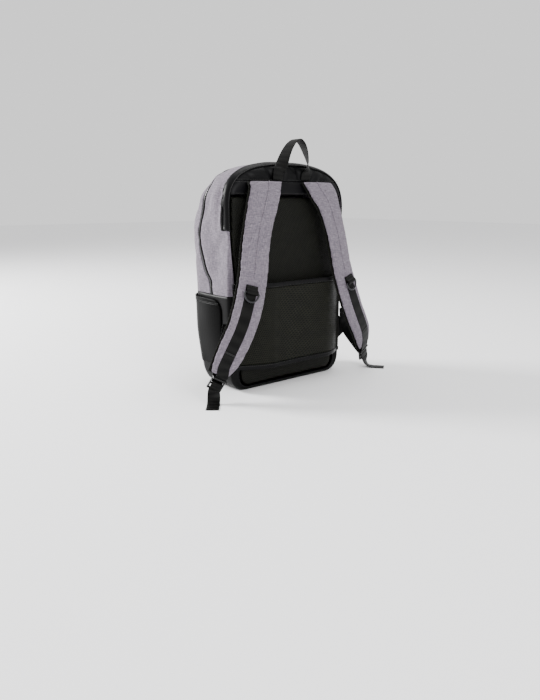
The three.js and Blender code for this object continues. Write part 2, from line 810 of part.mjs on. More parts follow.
// D-ring: a wire round a straight side and a bow
function dRing(side) {
  const frame = webbingFrame(side, ringShare);
  const bow = ringWidth / 2;
  const outline = new THREE.Path();
  outline.moveTo(-bow, 0);
  outline.lineTo(bow, 0);
  outline.lineTo(bow, bow - ringDrop);
  outline.absarc(0, bow - ringDrop, bow, 0, -Math.PI, true);
  outline.closePath();
  const places = outline.getSpacedPoints(24).slice(0, -1);
  const sides = 6;
  const rings = places.map((place, index) => {
    const before = places[(index + places.length - 1) % places.length];
    const after = places[(index + 1) % places.length];
    const normal = new THREE.Vector2(after.y - before.y, before.x - after.x).normalize();
    return Array.from({ length: sides }, (unused, corner) => {
      const angle = (2 * Math.PI * corner) / sides;
      const away = Math.cos(angle) * ringWire;
      return inFrame(
        frame,
        place.x + normal.x * away,
        place.y + normal.y * away,
        ringLift + Math.sin(angle) * ringWire,
      );
    });
  });
  return skin(rings, true);
}

// Lip of a ladder lock: it stands on the sides of the plate and bridges the webbing over the top bar
function lockLip(half, slotHalf) {
  const inner = (lockWall + webbingWall) / 2 + webbingWall / 2 + 4 * layGap;
  const bridge = new THREE.Shape([
    new THREE.Vector2(-half, 0),
    new THREE.Vector2(-slotHalf, 0),
    new THREE.Vector2(-slotHalf, inner),
    new THREE.Vector2(slotHalf, inner),
    new THREE.Vector2(slotHalf, 0),
    new THREE.Vector2(half, 0),
    new THREE.Vector2(half, inner + lipWall),
    new THREE.Vector2(-half, inner + lipWall),
  ]);
  const geometry = new THREE.ExtrudeGeometry(bridge, { depth: lockBar - 1, bevelEnabled: false });
  return geometry.rotateX(Math.PI / 2).translate(0, lockBar * 1.5 + lockUpperSlot - 1, 0);
}

// Ladder lock: a plate with three bars and two slots, its middle bar at the frame's origin
function ladderLock(side) {
  const frame = lockFrame(side);
  const half = lockWidth / 2;
  const slotHalf = webbingWidth / 2 + 0.8;
  const low = -lockBar * 1.5 - lockLowerSlot;
  const high = lockBar * 1.5 + lockUpperSlot;
  const corner = lockBar / 2;
  const plate = new THREE.Shape([
    new THREE.Vector2(-half + corner, low),
    new THREE.Vector2(half - corner, low),
    new THREE.Vector2(half, low + corner),
    new THREE.Vector2(half, high - corner),
    new THREE.Vector2(half - corner, high),
    new THREE.Vector2(corner - half, high),
    new THREE.Vector2(-half, high - corner),
    new THREE.Vector2(-half, low + corner),
  ]);
  const slots = [
    [-lockBar / 2 - lockLowerSlot, -lockBar / 2],
    [lockBar / 2, lockBar / 2 + lockUpperSlot],
  ];
  for (const [bottom, top] of slots) {
    plate.holes.push(
      new THREE.Path([
        new THREE.Vector2(-slotHalf, bottom),
        new THREE.Vector2(-slotHalf, top),
        new THREE.Vector2(slotHalf, top),
        new THREE.Vector2(slotHalf, bottom),
      ]),
    );
  }
  const flat = new THREE.ExtrudeGeometry(plate, { depth: lockWall, bevelEnabled: false });
  flat.translate(0, 0, -lockWall / 2);
  const geometry = toGeometry(toSolid(welded(flat)).add(toSolid(welded(lockLip(half, slotHalf)))));
  const up = frame.down.clone().negate();
  geometry.applyMatrix4(new THREE.Matrix4().makeBasis(frame.across, up, frame.face));
  geometry.translate(...frame.point.toArray());
  return faceOut(welded(geometry));
}

// Distance of the anchor's free end from the back plane
const anchorDepth = 2;

// Fabric tab in the lower side seam that narrows to the webbing
function anchorTab(side) {
  const rows = 3;
  const middle = (anchorTop + anchorBottom) / 2;
  const cells = spread(0, 1, rows);
  const inner = cells.map((share) => {
    const station = side * stationAtHeight(THREE.MathUtils.lerp(anchorBottom, anchorTop, share));
    return bagPoint(station, 2.1, layGap);
  });
  const outer = cells.map(
    (share) =>
      new THREE.Vector3(
        side * (halfWidth + anchorReach),
        depthToY(anchorDepth),
        middle + (share - 0.5) * webbingWidth,
      ),
  );
  const rings = [0, 0.5, 1].map((reach) => {
    const edge = inner.map((point, row) => point.clone().lerp(outer[row], reach));
    const shift = (points, by) => points.map((point) => point.clone().setY(point.y + by));
    return [...shift(edge, -anchorWall / 2), ...shift(edge, anchorWall / 2).reverse()];
  });
  return skin(rings);
}

// How far the free tails lie turned outwards on the floor
const tailTurn = THREE.MathUtils.degToRad(38);

// Webbing from the anchor through the ladder lock, over its middle bar, with a free tail on the floor
function adjusterWebbing(side) {
  const lock = lockFrame(side);
  const middle = (anchorTop + anchorBottom) / 2;
  const offTab = anchorDepth - anchorWall / 2 - 2 * layGap - webbingWall / 2;
  const place = (out, depth, height) => new THREE.Vector3(side * (halfWidth + out), depthToY(depth), height);
  const leaning = new THREE.Vector3(0.95, 0, 0.3 * side);
  const flat = new THREE.Vector3(Math.cos(tailTurn), side * Math.sin(tailTurn), 0);
  const reach = (lockWall + webbingWall) / 2 + layGap;
  const onLock = [
    [lockBar + lockUpperSlot + 4, -13],
    [lockUpperSlot - 0.5, -6],
    [lockBar / 2 + 2.4, -1.4],
    [lockBar / 2 + 1.9, 1],
    [lockBar / 2 + 0.7, reach + 0.1],
    [-lockBar / 2, reach + 0.7],
    [-lockBar - lockLowerSlot, reach + 0.7],
  ];
  const exit = inFrame(lock, 0, -lockBar * 1.5 - lockLowerSlot, reach + 0.8);
  const drop = Math.max(exit.z - webbingWall, 1);
  const outward = new THREE.Vector3(side * Math.sin(tailTurn), -Math.cos(tailTurn), 0);
  const floor = webbingWall / 2 + layGap;
  const laid = Math.max(tailLength - drop, 10);
  const tail = [
    [0.1 * drop, floor + 0.5 * drop, 0.7],
    [0.35 * drop, floor + 0.16 * drop, 1],
    [0.8 * drop, floor, 1],
    [0.5 * (laid + drop), floor, 1],
    [laid + 0.3 * drop, floor, 1],
  ];
  const stops = [
    { point: place(10, offTab - 2.2, middle + 47), across: leaning },
    { point: place(14, offTab - 1, middle + 22), across: leaning },
    { point: place(anchorReach, offTab, middle), across: leaning },
    ...onLock.map(([up, out]) => ({ point: inFrame(lock, 0, up, out), across: lock.across })),
    { point: exit, across: lock.across },
    ...tail.map(([out, height, turn]) => ({
      point: exit.clone().addScaledVector(outward, out).setZ(height),
      across: lock.across.clone().lerp(flat, turn),
    })),
  ];
  return ribbon(routeThrough(stops, 38), webbingWidth, webbingWall);
}

// Grab handle: its feet lie on the yoke above the strap seam and its webbing turns edge-on at the peak
function grabHandle() {
  const handleAt = curveThrough(handleLine);
  const foot = strapSeamHeight + 3;
  const rise = bagHeight + handlePeak - foot;
  const route = spread(0, 1, 28).map((share) => {
    const row = handleAt(share);
    const turn = THREE.MathUtils.degToRad(row.turn);
    return {
      point: new THREE.Vector3(
        (row.across * handleSpread) / 2,
        depthToY(row.lean * webbingWidth - layGap - webbingWall / 2),
        foot + row.up * rise,
      ),
      across: new THREE.Vector3(Math.cos(turn), Math.sin(turn), 0),
    };
  });
  return ribbon(route, webbingWidth, webbingWall);
}

// Finishes
const melange = new THREE.MeshStandardMaterial({ color: 0x9a929a, roughness: 0.9, metalness: 0 });
const blackWeave = new THREE.MeshStandardMaterial({ color: 0x2b2a2b, roughness: 0.8, metalness: 0 });
const airMesh = new THREE.MeshStandardMaterial({ color: 0x1b1c17, roughness: 0.95, metalness: 0 });
const stretchKnit = new THREE.MeshStandardMaterial({ color: 0x0d0c0e, roughness: 0.75, metalness: 0 });
const webbing = new THREE.MeshStandardMaterial({ color: 0x2a2a28, roughness: 0.7, metalness: 0 });
const blackPlastic = new THREE.MeshStandardMaterial({ color: 0x1c1c1e, roughness: 0.4, metalness: 0 });
const coatedMetal = new THREE.MeshStandardMaterial({ color: 0x222223, roughness: 0.3, metalness: 0.9 });

function piece(name, geometry, material) {
  geometry.computeVertexNormals();
  const mesh = new THREE.Mesh(geometry, material);
  mesh.name = name;
  return mesh;
}

const seam = seamGap / 2;
const body = new THREE.Group();
body.add(
  piece("front_shell", frontShell(), melange),
  piece("rear_gusset", rearGusset(), melange),
  piece("base_tub", baseTub(), blackWeave),
  piece("main_zip_tape", zipTape(), blackWeave),
  piece("main_zip_coil", zipCoil(), blackPlastic),
  piece("zip_slider", zipSlider(), blackPlastic),
  piece("top_band", topBand(), blackWeave),
  piece("back_pad", backPanel(padWall, -bagHeight, padTopHeight - seam, -1, 5), airMesh),
  piece("yoke_lower", backPanel(yokeWall, padTopHeight + seam, strapSeamHeight - seam), blackWeave),
  piece("yoke_upper", backPanel(yokeWall, strapSeamHeight + seam, 2 * bagHeight), blackWeave),
  piece("grab_handle", grabHandle(), webbing),
);

const sleeve = new THREE.Group();
const sleeveSeams = [sleeveBottom + bindingHeight, sleeveTop - bindingHeight];
sleeve.add(
  piece("trolley_sleeve", sleevePart(sleeveSeams[0] + layGap, sleeveSeams[1] - layGap, sleeveWall), airMesh),
  piece("sleeve_binding_bottom", sleevePart(sleeveBottom, sleeveSeams[0], bindingWall), blackWeave),
  piece("sleeve_binding_top", sleevePart(sleeveSeams[1], sleeveTop, bindingWall), blackWeave),
);

const backpack = new THREE.Group();
backpack.add(body, sleeve);
for (const [label, side] of [["left", -1], ["right", 1]]) {
  const half = new THREE.Group();
  half.add(
    piece(`side_pocket_${label}`, sidePocket(side), stretchKnit),
    piece(`pocket_hem_${label}`, pocketHem(side), stretchKnit),
    piece(`strap_pad_${label}`, strapPad(side), melange),
    piece(`strap_lining_${label}`, strapLining(side), airMesh),
    piece(`strap_webbing_${label}`, strapWebbing(side), webbing),
    piece(`d_ring_tab_${label}`, ringTab(side), webbing),
    piece(`d_ring_${label}`, dRing(side), coatedMetal),
    piece(`ladder_lock_${label}`, ladderLock(side), blackPlastic),
    piece(`anchor_tab_${label}`, anchorTab(side), blackWeave),
    piece(`adjuster_webbing_${label}`, adjusterWebbing(side), webbing),
  );
  backpack.add(half);
}

export default backpack;
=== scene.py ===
import bisect
import math
from functools import lru_cache

import bmesh
import bpy
from mathutils import Matrix, Vector, noise
from mathutils.bvhtree import BVHTree


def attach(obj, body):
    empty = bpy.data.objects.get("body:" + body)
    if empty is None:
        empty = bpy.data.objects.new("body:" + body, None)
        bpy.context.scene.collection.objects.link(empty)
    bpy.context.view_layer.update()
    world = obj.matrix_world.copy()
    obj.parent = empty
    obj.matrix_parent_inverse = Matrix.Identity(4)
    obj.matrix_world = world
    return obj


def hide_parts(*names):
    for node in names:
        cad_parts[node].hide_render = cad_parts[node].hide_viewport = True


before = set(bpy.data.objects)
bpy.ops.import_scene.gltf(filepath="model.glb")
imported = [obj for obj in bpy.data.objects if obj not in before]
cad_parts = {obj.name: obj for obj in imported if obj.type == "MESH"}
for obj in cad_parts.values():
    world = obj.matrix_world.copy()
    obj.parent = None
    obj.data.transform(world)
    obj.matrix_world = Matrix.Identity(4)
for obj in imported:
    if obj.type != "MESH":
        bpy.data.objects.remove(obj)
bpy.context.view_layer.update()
mm = 0.001

# The bag's form, in millimetres, on the same named sizes as the solids

body = {
    "width": 300, "height": 452, "depth": 152,
    "baseCorner": 40, "shoulderDrop": 82, "crownReach": 80,
    "sideBulge": 6, "frontBulge": 4, "backMargin": 30,
    "padPuff": 3, "padTop": 390, "strapSeam": 416, "baseSeam": 196,
    "seam": 0.3, "layGap": 0.3, "wall": 2, "creaseDepth": 1.5,
}
halfWidth = body["width"] / 2
halfHeight = body["height"] / 2


def smooth(value, low, high):
    share = min(max((value - low) / (high - low), 0), 1)
    return share * share * (3 - 2 * share)


def mix(a, b, share):
    return a + (b - a) * share


def spread(low, high, cells):
    return [mix(low, high, cell / cells) for cell in range(cells + 1)]


# a smooth curve through rows: the first column is the key, the others are returned
def curveThrough(rows):
    keys = [row[0] for row in rows]

    def at(where):
        if where <= keys[0]:
            return rows[0][1:]
        if where >= keys[-1]:
            return rows[-1][1:]
        right = bisect.bisect_right(keys, where)
        left = right - 1
        before = left - 1 if left > 0 else right
        after = right + 1 if right + 1 < len(rows) else left
        half = (keys[right] - keys[left]) / 2
        pull = half / (keys[left] - keys[before])
        push = half / (keys[after] - keys[right])
        p = (where - keys[left]) / (keys[right] - keys[left])
        weights = (
            (before, -pull * p**3 + 2 * pull * p**2 - pull * p),
            (left, (1 + pull) * p**3 + (-1.5 - 2 * pull) * p**2 + (pull - 0.5) * p + 1),
            (right, (-1 - push) * p**3 + (1.5 + push) * p**2 + 0.5 * p),
            (after, push * p**3 - push * p**2),
        )
        return tuple(sum(rows[row][column] * weight for row, weight in weights)
                     for column in range(1, len(rows[0])))

    return at


def evenly(rows):
    return curveThrough([(index / (len(rows) - 1), *row) for index, row in enumerate(rows)])


# height share: depth share, round of the front edge
depthAt = curveThrough([
    (0, 0.7, 18), (0.11, 0.82, 27), (0.24, 0.9, 35), (0.43, 0.94, 40),
    (0.7, 1, 44), (0.86, 0.87, 42), (0.95, 0.67, 36), (1, 0.48, 30),
])
backRoundAt = curveThrough([(0, 5), (0.5, 8), (0.88, 10), (1, 24)])
# height share: step of the seam between the worn side and the side fabric
backSeamAt = curveThrough([
    (0, 0.9), (0.04, 0.62), (0.09, 0.35), (0.25, 0.45), (0.52, 1), (0.64, 1.4), (0.72, 1.6),
    (0.86, 1.7), (1, 1.75),
])
zipLineAt = curveThrough([(0.4, 2.5), (0.57, 2.78), (0.68, 2.93), (0.82, 2.9), (0.92, 3.02), (1, 3.3)])

# folds: two ends as shares of half width, depth and height, then reach and drop
folds = [
    (-0.9, 0.62, 0.93, -0.98, 0.9, 0.8, 17, 6), (-0.97, 0.5, 0.9, -1.02, 0.72, 0.76, 15, 4),
    (-1.02, 0.12, 0.68, -1.02, 0.3, 0.58, 15, 5), (-1.03, 0.16, 0.55, -1.03, 0.52, 0.47, 18, 4),
    (-1.03, 0.42, 0.8, -1.03, 0.34, 0.62, 20, 4), (0.92, 0.64, 0.92, 0.98, 0.88, 0.79, 18, 5),
    (1.02, 0.14, 0.64, 1.02, 0.45, 0.52, 18, 4), (1.02, 0.4, 0.78, 1.02, 0.3, 0.66, 20, 3),
    (-0.5, 1, 0.5, 0.45, 1, 0.46, 30, 4), (-0.7, 0.95, 0.18, 0.7, 0.95, 0.16, 26, 3),
]
# finer creases, in millimetres from the middle, the back plane and the floor; a negative drop is a ridge
creases = [
    (-152, 50, 412, -156, 82, 350, 7, 2.6), (-152, 36, 408, -156, 62, 352, 6, -1.6),
    (-152, 26, 392, -156, 40, 326, 8, 2.8), (-154, 12, 312, -156, 58, 276, 6, 2.4),
    (-154, 14, 302, -156, 62, 262, 5, -1.5), (-154, 8, 292, -156, 44, 240, 7, 2.4),
    (-156, 84, 318, -156, 34, 286, 7, 1.6), (-155, 88, 226, -155, 18, 214, 8, 1.8),
    (-153, 9, 318, -155, 24, 309, 2.6, -1.8), (-153, 8, 312, -155, 20, 300, 2.6, 1.8),
    (-153, 8, 305, -155, 22, 293, 3, -1.6), (-153, 7, 298, -155, 17, 286, 3, 1.3),
    (-112, 62, 441, -146, 96, 398, 5, 2.4), (-120, 82, 432, -147, 112, 384, 5, -1.8),
    (-126, 98, 420, -148, 124, 366, 7, 3), (-98, 84, 441, -132, 122, 404, 6, 2.2),
    (-148, 112, 300, -140, 138, 246, 9, 2.2), (-146, 122, 372, -134, 140, 312, 8, -1.6),
    (152, 44, 410, 156, 76, 344, 7, 2.4), (152, 24, 388, 156, 38, 320, 8, 2.4),
    (154, 12, 308, 156, 56, 268, 6, 2.2), (155, 86, 300, 155, 30, 258, 7, 1.8),
    (155, 88, 222, 155, 20, 212, 8, 1.8), (116, 70, 438, 146, 106, 392, 6, 2.2),
    (124, 96, 424, 147, 126, 372, 7, 2.4), (148, 114, 292, 138, 140, 236, 9, 2.2),
    (-90, 150, 360, -30, 153, 300, 14, 2), (-20, 152, 250, 70, 151, 214, 13, 2.4),
    (40, 151, 380, 96, 147, 330, 14, 2), (-110, 146, 214, -60, 148, 240, 10, -1.4),
    (-58, 2, 446, -44, 0, 420, 6, 2.4), (-36, 2, 448, -30, 0, 424, 5, -1.5),
    (-12, 2, 447, -18, 0, 421, 6, 1.6), (18, 2, 447, 24, 0, 421, 6, 2),
    (70, 2, 440, 56, 0, 420, 6, 2.2), (96, 3, 430, 84, 0, 420, 5, 1.6),
    (-104, 2, 428, -92, 0, 419, 6, 1.8),
]

baseDepth = 0.7 * body["depth"]
baseMiddle = (5 + baseDepth - 18) / 2


def depthToY(depth):
    return depth - baseMiddle


def lineTable(points):
    lengths = [0.0]
    for a, b in zip(points, points[1:]):
        lengths.append(lengths[-1] + math.dist(a, b))
    return points, lengths


def makeRim():
    w, h, corner, drop = halfWidth, body["height"], body["baseCorner"], body["shoulderDrop"]
    shares = spread(0, 1, 120)
    quad = [((1 - s) ** 2 * (w - corner) + 2 * s * (1 - s) * w + s * s * w, s * s * corner) for s in shares]
    ends = ((w, h - drop), (w, h - 0.12 * drop), (body["crownReach"], h), (0, h))
    crown = []
    for s in shares:
        pulls = ((1 - s) ** 3, 3 * s * (1 - s) ** 2, 3 * s * s * (1 - s), s**3)
        crown.append(tuple(sum(pull * end[k] for pull, end in zip(pulls, ends)) for k in (0, 1)))
    return [lineTable(line) for line in (
        [(0, 0), (w - corner, 0)], quad, [(w, corner), (w, h - drop)], crown)]


rimParts = makeRim()
rimCells = (2, 4, 12, 10)
crownStation = sum(rimCells)


# half of the outline seen from the back: place and outward direction at a station, mirrored when negative
@lru_cache(None)
def rimAt(station):
    rest = min(abs(station), crownStation)
    part = 0
    while part < 3 and rest > rimCells[part]:
        rest -= rimCells[part]
        part += 1
    points, lengths = rimParts[part]
    where = rest / rimCells[part] * lengths[-1]
    at = min(max(bisect.bisect_right(lengths, where), 1), len(points) - 1)
    share = (where - lengths[at - 1]) / (lengths[at] - lengths[at - 1])
    a, b = points[at - 1], points[at]
    long = math.dist(a, b)
    mirror = -1 if station < 0 else 1
    return (mirror * mix(a[0], b[0], share), mix(a[1], b[1], share),
            mirror * (b[1] - a[1]) / long, -(b[0] - a[0]) / long)


def lineDrops(rows):
    made = []
    for x0, y0, z0, x1, y1, z1, reach, drop in rows:
        a, b = Vector((x0, depthToY(y0), z0)), Vector((x1, depthToY(y1), z1))
        made.append((a, b - a, (b - a).length_squared, reach, drop))
    return made


foldLines = lineDrops([
    (f[0] * halfWidth, f[1] * body["depth"], f[2] * body["height"],
     f[3] * halfWidth, f[4] * body["depth"], f[5] * body["height"], f[6], f[7]) for f in folds])
creaseLines = lineDrops([(*row[:7], row[7] * body["creaseDepth"]) for row in creases])


def dropAt(point, lines):
    total = 0
    for a, along, long, reach, drop in lines:
        share = min(max((point - a).dot(along) / long, 0), 1)
        away = (a + along * share - point).length_squared / reach**2
        if away < 9:
            total += drop * math.exp(-away)
    return total


def padSwell(x, z):
    across = 1 - smooth(abs(x), 0.55 * halfWidth, 0.88 * halfWidth)
    down = smooth(z, 0.04 * body["height"], 0.14 * body["height"])
    return across * down * (1 - smooth(z, 0.88 * body["padTop"], 0.99 * body["padTop"]))


# point of the bag's surface: steps run from -1, the middle of the back, over the side at 2 to 3,
# to 5, the front; fine adds the creases and the soft unevenness of the cloth
def bagPoint(station, step, lift=0, fine=True):
    edgeX, edgeZ, outX, outZ = rimAt(station)
    backRound = backRoundAt(edgeZ / body["height"])[0]
    frontRound = depthAt(edgeZ / body["height"])[1]
    inset, shrink, turn = 0, 1, 0
    if step < 0:
        shrink, inset = 1 + step, body["backMargin"]
    elif step < 1:
        inset = mix(body["backMargin"], backRound, step)
    elif step < 2:
        turn = step - 1
        inset = backRound * (1 - math.sin(turn * math.pi / 2))
    elif step < 3:
        turn = 1
    elif step < 4:
        turn = step - 2
        inset = frontRound * (1 - math.cos((step - 3) * math.pi / 2))
    else:
        turn, inset, shrink = 2, frontRound, 5 - step
    x = edgeX * (1 - inset / halfWidth) * shrink
    z = halfHeight + (edgeZ - halfHeight) * (1 - inset / halfHeight) * shrink
    front = depthAt(z / body["height"])[0] * body["depth"]
    if step < 1:
        depth = -body["padPuff"] * padSwell(x, z)
    elif step < 2:
        depth = backRound * (1 - math.cos(turn * math.pi / 2))
    elif step < 3:
        depth = mix(backRound, front - frontRound, step - 2)
    elif step < 4:
        depth = front - frontRound * (1 - math.sin((step - 3) * math.pi / 2))
    else:
        depth = front + body["frontBulge"] * (1 - shrink**2)
    facing = math.sin(turn * math.pi / 2)
    out = Vector((outX * facing, -math.cos(turn * math.pi / 2), outZ * facing))
    point = Vector((x, depthToY(depth), z))
    filled = smooth(z / body["height"], 0.04, 0.3) * smooth(step, 1.4, 2.5)
    slack = 1 - smooth(step, 2.5, 4)
    full = body["sideBulge"] * slack * abs(outX)
    rise = filled * (full - (dropAt(point, foldLines) if step > 1 else 0))
    if fine:
        rise -= dropAt(point, creaseLines)
        rise += 0.7 * noise.noise(point / 34) * smooth(z, 8, 60)
    return point + out * (rise + lift)


def stepAlong(station, step, distance):
    parts, at = 6, step
    for part in range(parts):
        pace = (bagPoint(station, at + 0.01, 0, False) - bagPoint(station, at - 0.01, 0, False)).length / 0.02
        at += distance / parts / pace
    return at


def stationAtHeight(height):
    low, high = rimCells[0], crownStation
    for halving in range(26):
        middle = (low + high) / 2
        low, high = (middle, high) if rimAt(middle)[1] < height else (low, middle)
    return (low + high) / 2


@lru_cache(None)
def backSeamStep(station):
    return backSeamAt(rimAt(station)[1] / body["height"])[0]


@lru_cache(None)
def zipStep(station):
    return zipLineAt(rimAt(station)[1] / body["height"])[0]


@lru_cache(None)
def shiftedSeam(station, line, distance):
    start = zipStep(station) if line == "zip" else backSeamStep(station)
    return stepAlong(station, start, distance)


def stepAtDepth(station, depth):
    height = rimAt(station)[1] / body["height"]
    backRound = backRoundAt(height)[0]
    share, frontRound = depthAt(height)
    return 2 + (depth - backRound) / (share * body["depth"] - frontRound - backRound)


print("surface ready")

# Mesh tools


def finishMesh(bm, name, material, smoothFaces=True):
    mesh = bpy.data.meshes.new(name)
    bm.to_mesh(mesh)
    bm.free()
    for polygon in mesh.polygons:
        polygon.use_smooth = smoothFaces
    mesh.materials.append(material)
    piece = bpy.data.objects.new(name, mesh)
    bpy.context.scene.collection.objects.link(piece)
    return piece


def pointOut(bm, centre):
    lean = sum((face.calc_center_median() - centre).dot(face.normal) * face.calc_area() for face in bm.faces)
    if lean < 0:
        bmesh.ops.reverse_faces(bm, faces=bm.faces)


# a grid of cells whose corners place(u, v) puts on a surface, in millimetres
# flat is the cloth's real size, for the weave
def gridMesh(columns, rows, place, flat=(1, 1)):
    bm = bmesh.new()
    bmesh.ops.create_grid(bm, x_segments=columns, y_segments=rows, size=0.5, calc_uvs=False)
    weave = bm.loops.layers.uv.new("weave")
    for face in bm.faces:
        for loop in face.loops:
            loop[weave].uv = ((loop.vert.co.x + 0.5) * flat[0] * mm, (loop.vert.co.y + 0.5) * flat[1] * mm)
    for vert in bm.verts:
        vert.co = place(vert.co.x + 0.5, vert.co.y + 0.5) * mm
    bmesh.ops.remove_doubles(bm, verts=bm.verts, dist=0.02 * mm)
    bmesh.ops.recalc_face_normals(bm, faces=bm.faces)
    return bm


def addModifiers(piece, wall=0, levels=0, offset=-1):
    if wall:
        solid = piece.modifiers.new("wall", "SOLIDIFY")
        solid.thickness, solid.offset = wall * mm, offset
    if levels:
        finer = piece.modifiers.new("finer", "SUBSURF")
        finer.levels = finer.render_levels = levels
    return piece


# a closed tube of section points swept along: place(around, along)
def tubeMesh(around, along, place, flat=(1, 1), closed=False):
    bm = gridMesh(around, along, place, flat)
    if not closed:
        bmesh.ops.holes_fill(bm, edges=[edge for edge in bm.edges if edge.is_boundary], sides=0)
    bmesh.ops.recalc_face_normals(bm, faces=bm.faces)
    return bm


bagCentre = Vector((0, 0, halfHeight)) * mm


def fabricPiece(name, columns, rows, place, material, wall=None, keep=None, flat=(1, 1), levels=0):
    bm = gridMesh(columns, rows, place, flat)
    for height, above in keep or ():
        bmesh.ops.bisect_plane(
            bm, geom=bm.verts[:] + bm.edges[:] + bm.faces[:], dist=0.01 * mm, plane_co=(0, 0, height * mm),
            plane_no=(0, 0, 1), clear_inner=above, clear_outer=not above)
    pointOut(bm, bagCentre)
    piece = finishMesh(bm, name, material)
    return addModifiers(piece, wall if wall is not None else body["wall"], levels)


# point and direction across at a share of a route through stops
def routeThrough(stops):
    def curve(points, share):
        where = share * (len(points) - 1)
        first = min(int(where), len(points) - 2)
        w = where - first
        p1, p2 = points[first], points[first + 1]
        p0 = points[first - 1] if first > 0 else p1 * 2 - p2
        p3 = points[first + 2] if first + 2 < len(points) else p2 * 2 - p1
        d0, d1, d2 = ((b - a).length ** 0.5 for a, b in ((p0, p1), (p1, p2), (p2, p3)))
        d1 = d1 if d1 > 1e-4 else 1
        d0 = d0 if d0 > 1e-4 else d1
        d2 = d2 if d2 > 1e-4 else d1
        t1 = ((p1 - p0) / d0 - (p2 - p0) / (d0 + d1) + (p2 - p1) / d1) * d1
        t2 = ((p2 - p1) / d1 - (p3 - p1) / (d1 + d2) + (p3 - p2) / d2) * d1
        return (p1 + t1 * w + (-3 * p1 + 3 * p2 - 2 * t1 - t2) * w * w + (2 * p1 - 2 * p2 + t1 + t2) * w**3)

    points, turns = [stop[0] for stop in stops], [stop[1] for stop in stops]
    return lambda share: (curve(points, share), curve(turns, share))


# flat webbing along a route: rounded section, ribs from its uv
def ribbonPiece(name, route, width, wall, material, cells=60, around=16):
    def place(u, v):
        point, across = route(min(max(v, 0), 1))
        ahead, behind = route(min(v + 0.004, 1))[0], route(max(v - 0.004, 0))[0]
        along = (ahead - behind).normalized()
        wide = (across - along * across.dot(along)).normalized()
        thick = wide.cross(along).normalized()
        angle = 2 * math.pi * u
        c, s = math.cos(angle), math.sin(angle)
        return (point + wide * (math.copysign(abs(c) ** 0.25, c) * width / 2)
                + thick * (math.copysign(abs(s) ** 0.5, s) * wall / 2))

    long = sum((route((i + 1) / 40)[0] - route(i / 40)[0]).length for i in range(40))
    bm = tubeMesh(around, cells, place, (2 * width, long))
    return finishMesh(bm, name, material)


# short sewing stitches along points with their normals
def stitchRow(name, marks, material, size=(2.6, 0.55, 0.4)):
    bm = bmesh.new()
    for point, along, normal in marks:
        along, normal = along.normalized(), normal.normalized()
        side = normal.cross(along).normalized()
        turn = Matrix((along, side, normal)).transposed().to_4x4()
        stretch = Matrix.Diagonal((size[0] * mm, size[1] * mm, size[2] * mm, 1))
        put = Matrix.Translation(point * mm) @ turn @ stretch
        bmesh.ops.create_cube(bm, size=1, matrix=put)
    return finishMesh(bm, name, material)


# cloth pressure fills a closed pad, capped at a few millimetres
def plump(piece, settings):
    scene = bpy.context.scene
    remesh = piece.modifiers.new("remesh", "REMESH")
    remesh.mode, remesh.voxel_size = "VOXEL", settings["voxel"] * mm
    remesh.use_smooth_shade = True
    graph = bpy.context.evaluated_depsgraph_get()
    mesh = bpy.data.meshes.new_from_object(piece.evaluated_get(graph))
    piece.modifiers.clear()
    bm = bmesh.new()
    bm.from_mesh(mesh)
    for turn in range(4):
        bmesh.ops.smooth_vert(
            bm, verts=bm.verts, factor=0.5, use_axis_x=True, use_axis_y=True, use_axis_z=True)
    bm.to_mesh(mesh)
    bm.free()
    piece.data = mesh
    rest = [vert.co.copy() for vert in mesh.vertices]
    cloth = piece.modifiers.new("cloth", "CLOTH")
    cloth.settings.quality = 4
    cloth.settings.mass = 0.3
    cloth.settings.use_pressure = True
    cloth.settings.uniform_pressure_force = settings["pressure"]
    cloth.settings.effector_weights.gravity = 0
    cloth.settings.tension_stiffness = cloth.settings.compression_stiffness = 15
    cloth.settings.bending_stiffness = 0.5
    cloth.point_cache.frame_start, cloth.point_cache.frame_end = 1, settings["frames"]
    for number in range(1, settings["frames"] + 1):
        scene.frame_set(number)
    graph = bpy.context.evaluated_depsgraph_get()
    swollen = [vert.co.copy() for vert in piece.evaluated_get(graph).to_mesh().vertices]
    piece.evaluated_get(graph).to_mesh_clear()
    piece.modifiers.clear()
    scene.frame_set(1)
    cap = settings["cap"] * mm
    for vert, old, new in zip(mesh.vertices, rest, swollen):
        move = new - old
        if move.length > cap:
            move = move.normalized() * cap
        vert.co = old + move * settings["keep"]
    for polygon in mesh.polygons:
        polygon.use_smooth = True
    print("plumped", piece.name, len(mesh.vertices), "points")
    return addModifiers(piece, levels=1)


# Materials


def srgb(text):
    parts = [int(text[at:at + 2], 16) / 255 for at in (1, 3, 5)]
    return (*(part / 12.92 if part <= 0.04045 else ((part + 0.055) / 1.055) ** 2.4 for part in parts), 1)


def newMaterial(name, **sockets):
    material = bpy.data.materials.new(name)
    material.use_nodes = True
    shader = material.node_tree.nodes["Principled BSDF"]
    for socket, value in sockets.items():
        shader.inputs[socket.replace("_", " ")].default_value = value
    return material, material.node_tree, shader


def addNode(tree, kind, inputs=None, **settings):
    node = tree.nodes.new(kind)
    for name, value in settings.items():
        setattr(node, name, value)
    for name, value in (inputs or {}).items():
        if isinstance(value, bpy.types.NodeSocket):
            tree.links.new(value, node.inputs[name])
        else:
            node.inputs[name].default_value = value
    return node


def rampStops(node, stops):
    ramp = node.color_ramp
    while len(ramp.elements) < len(stops):
        ramp.elements.new(0.5)
    for element, (place, colour) in zip(ramp.elements, stops):
        element.position, element.color = place, srgb(colour)
    return node.outputs["Color"]


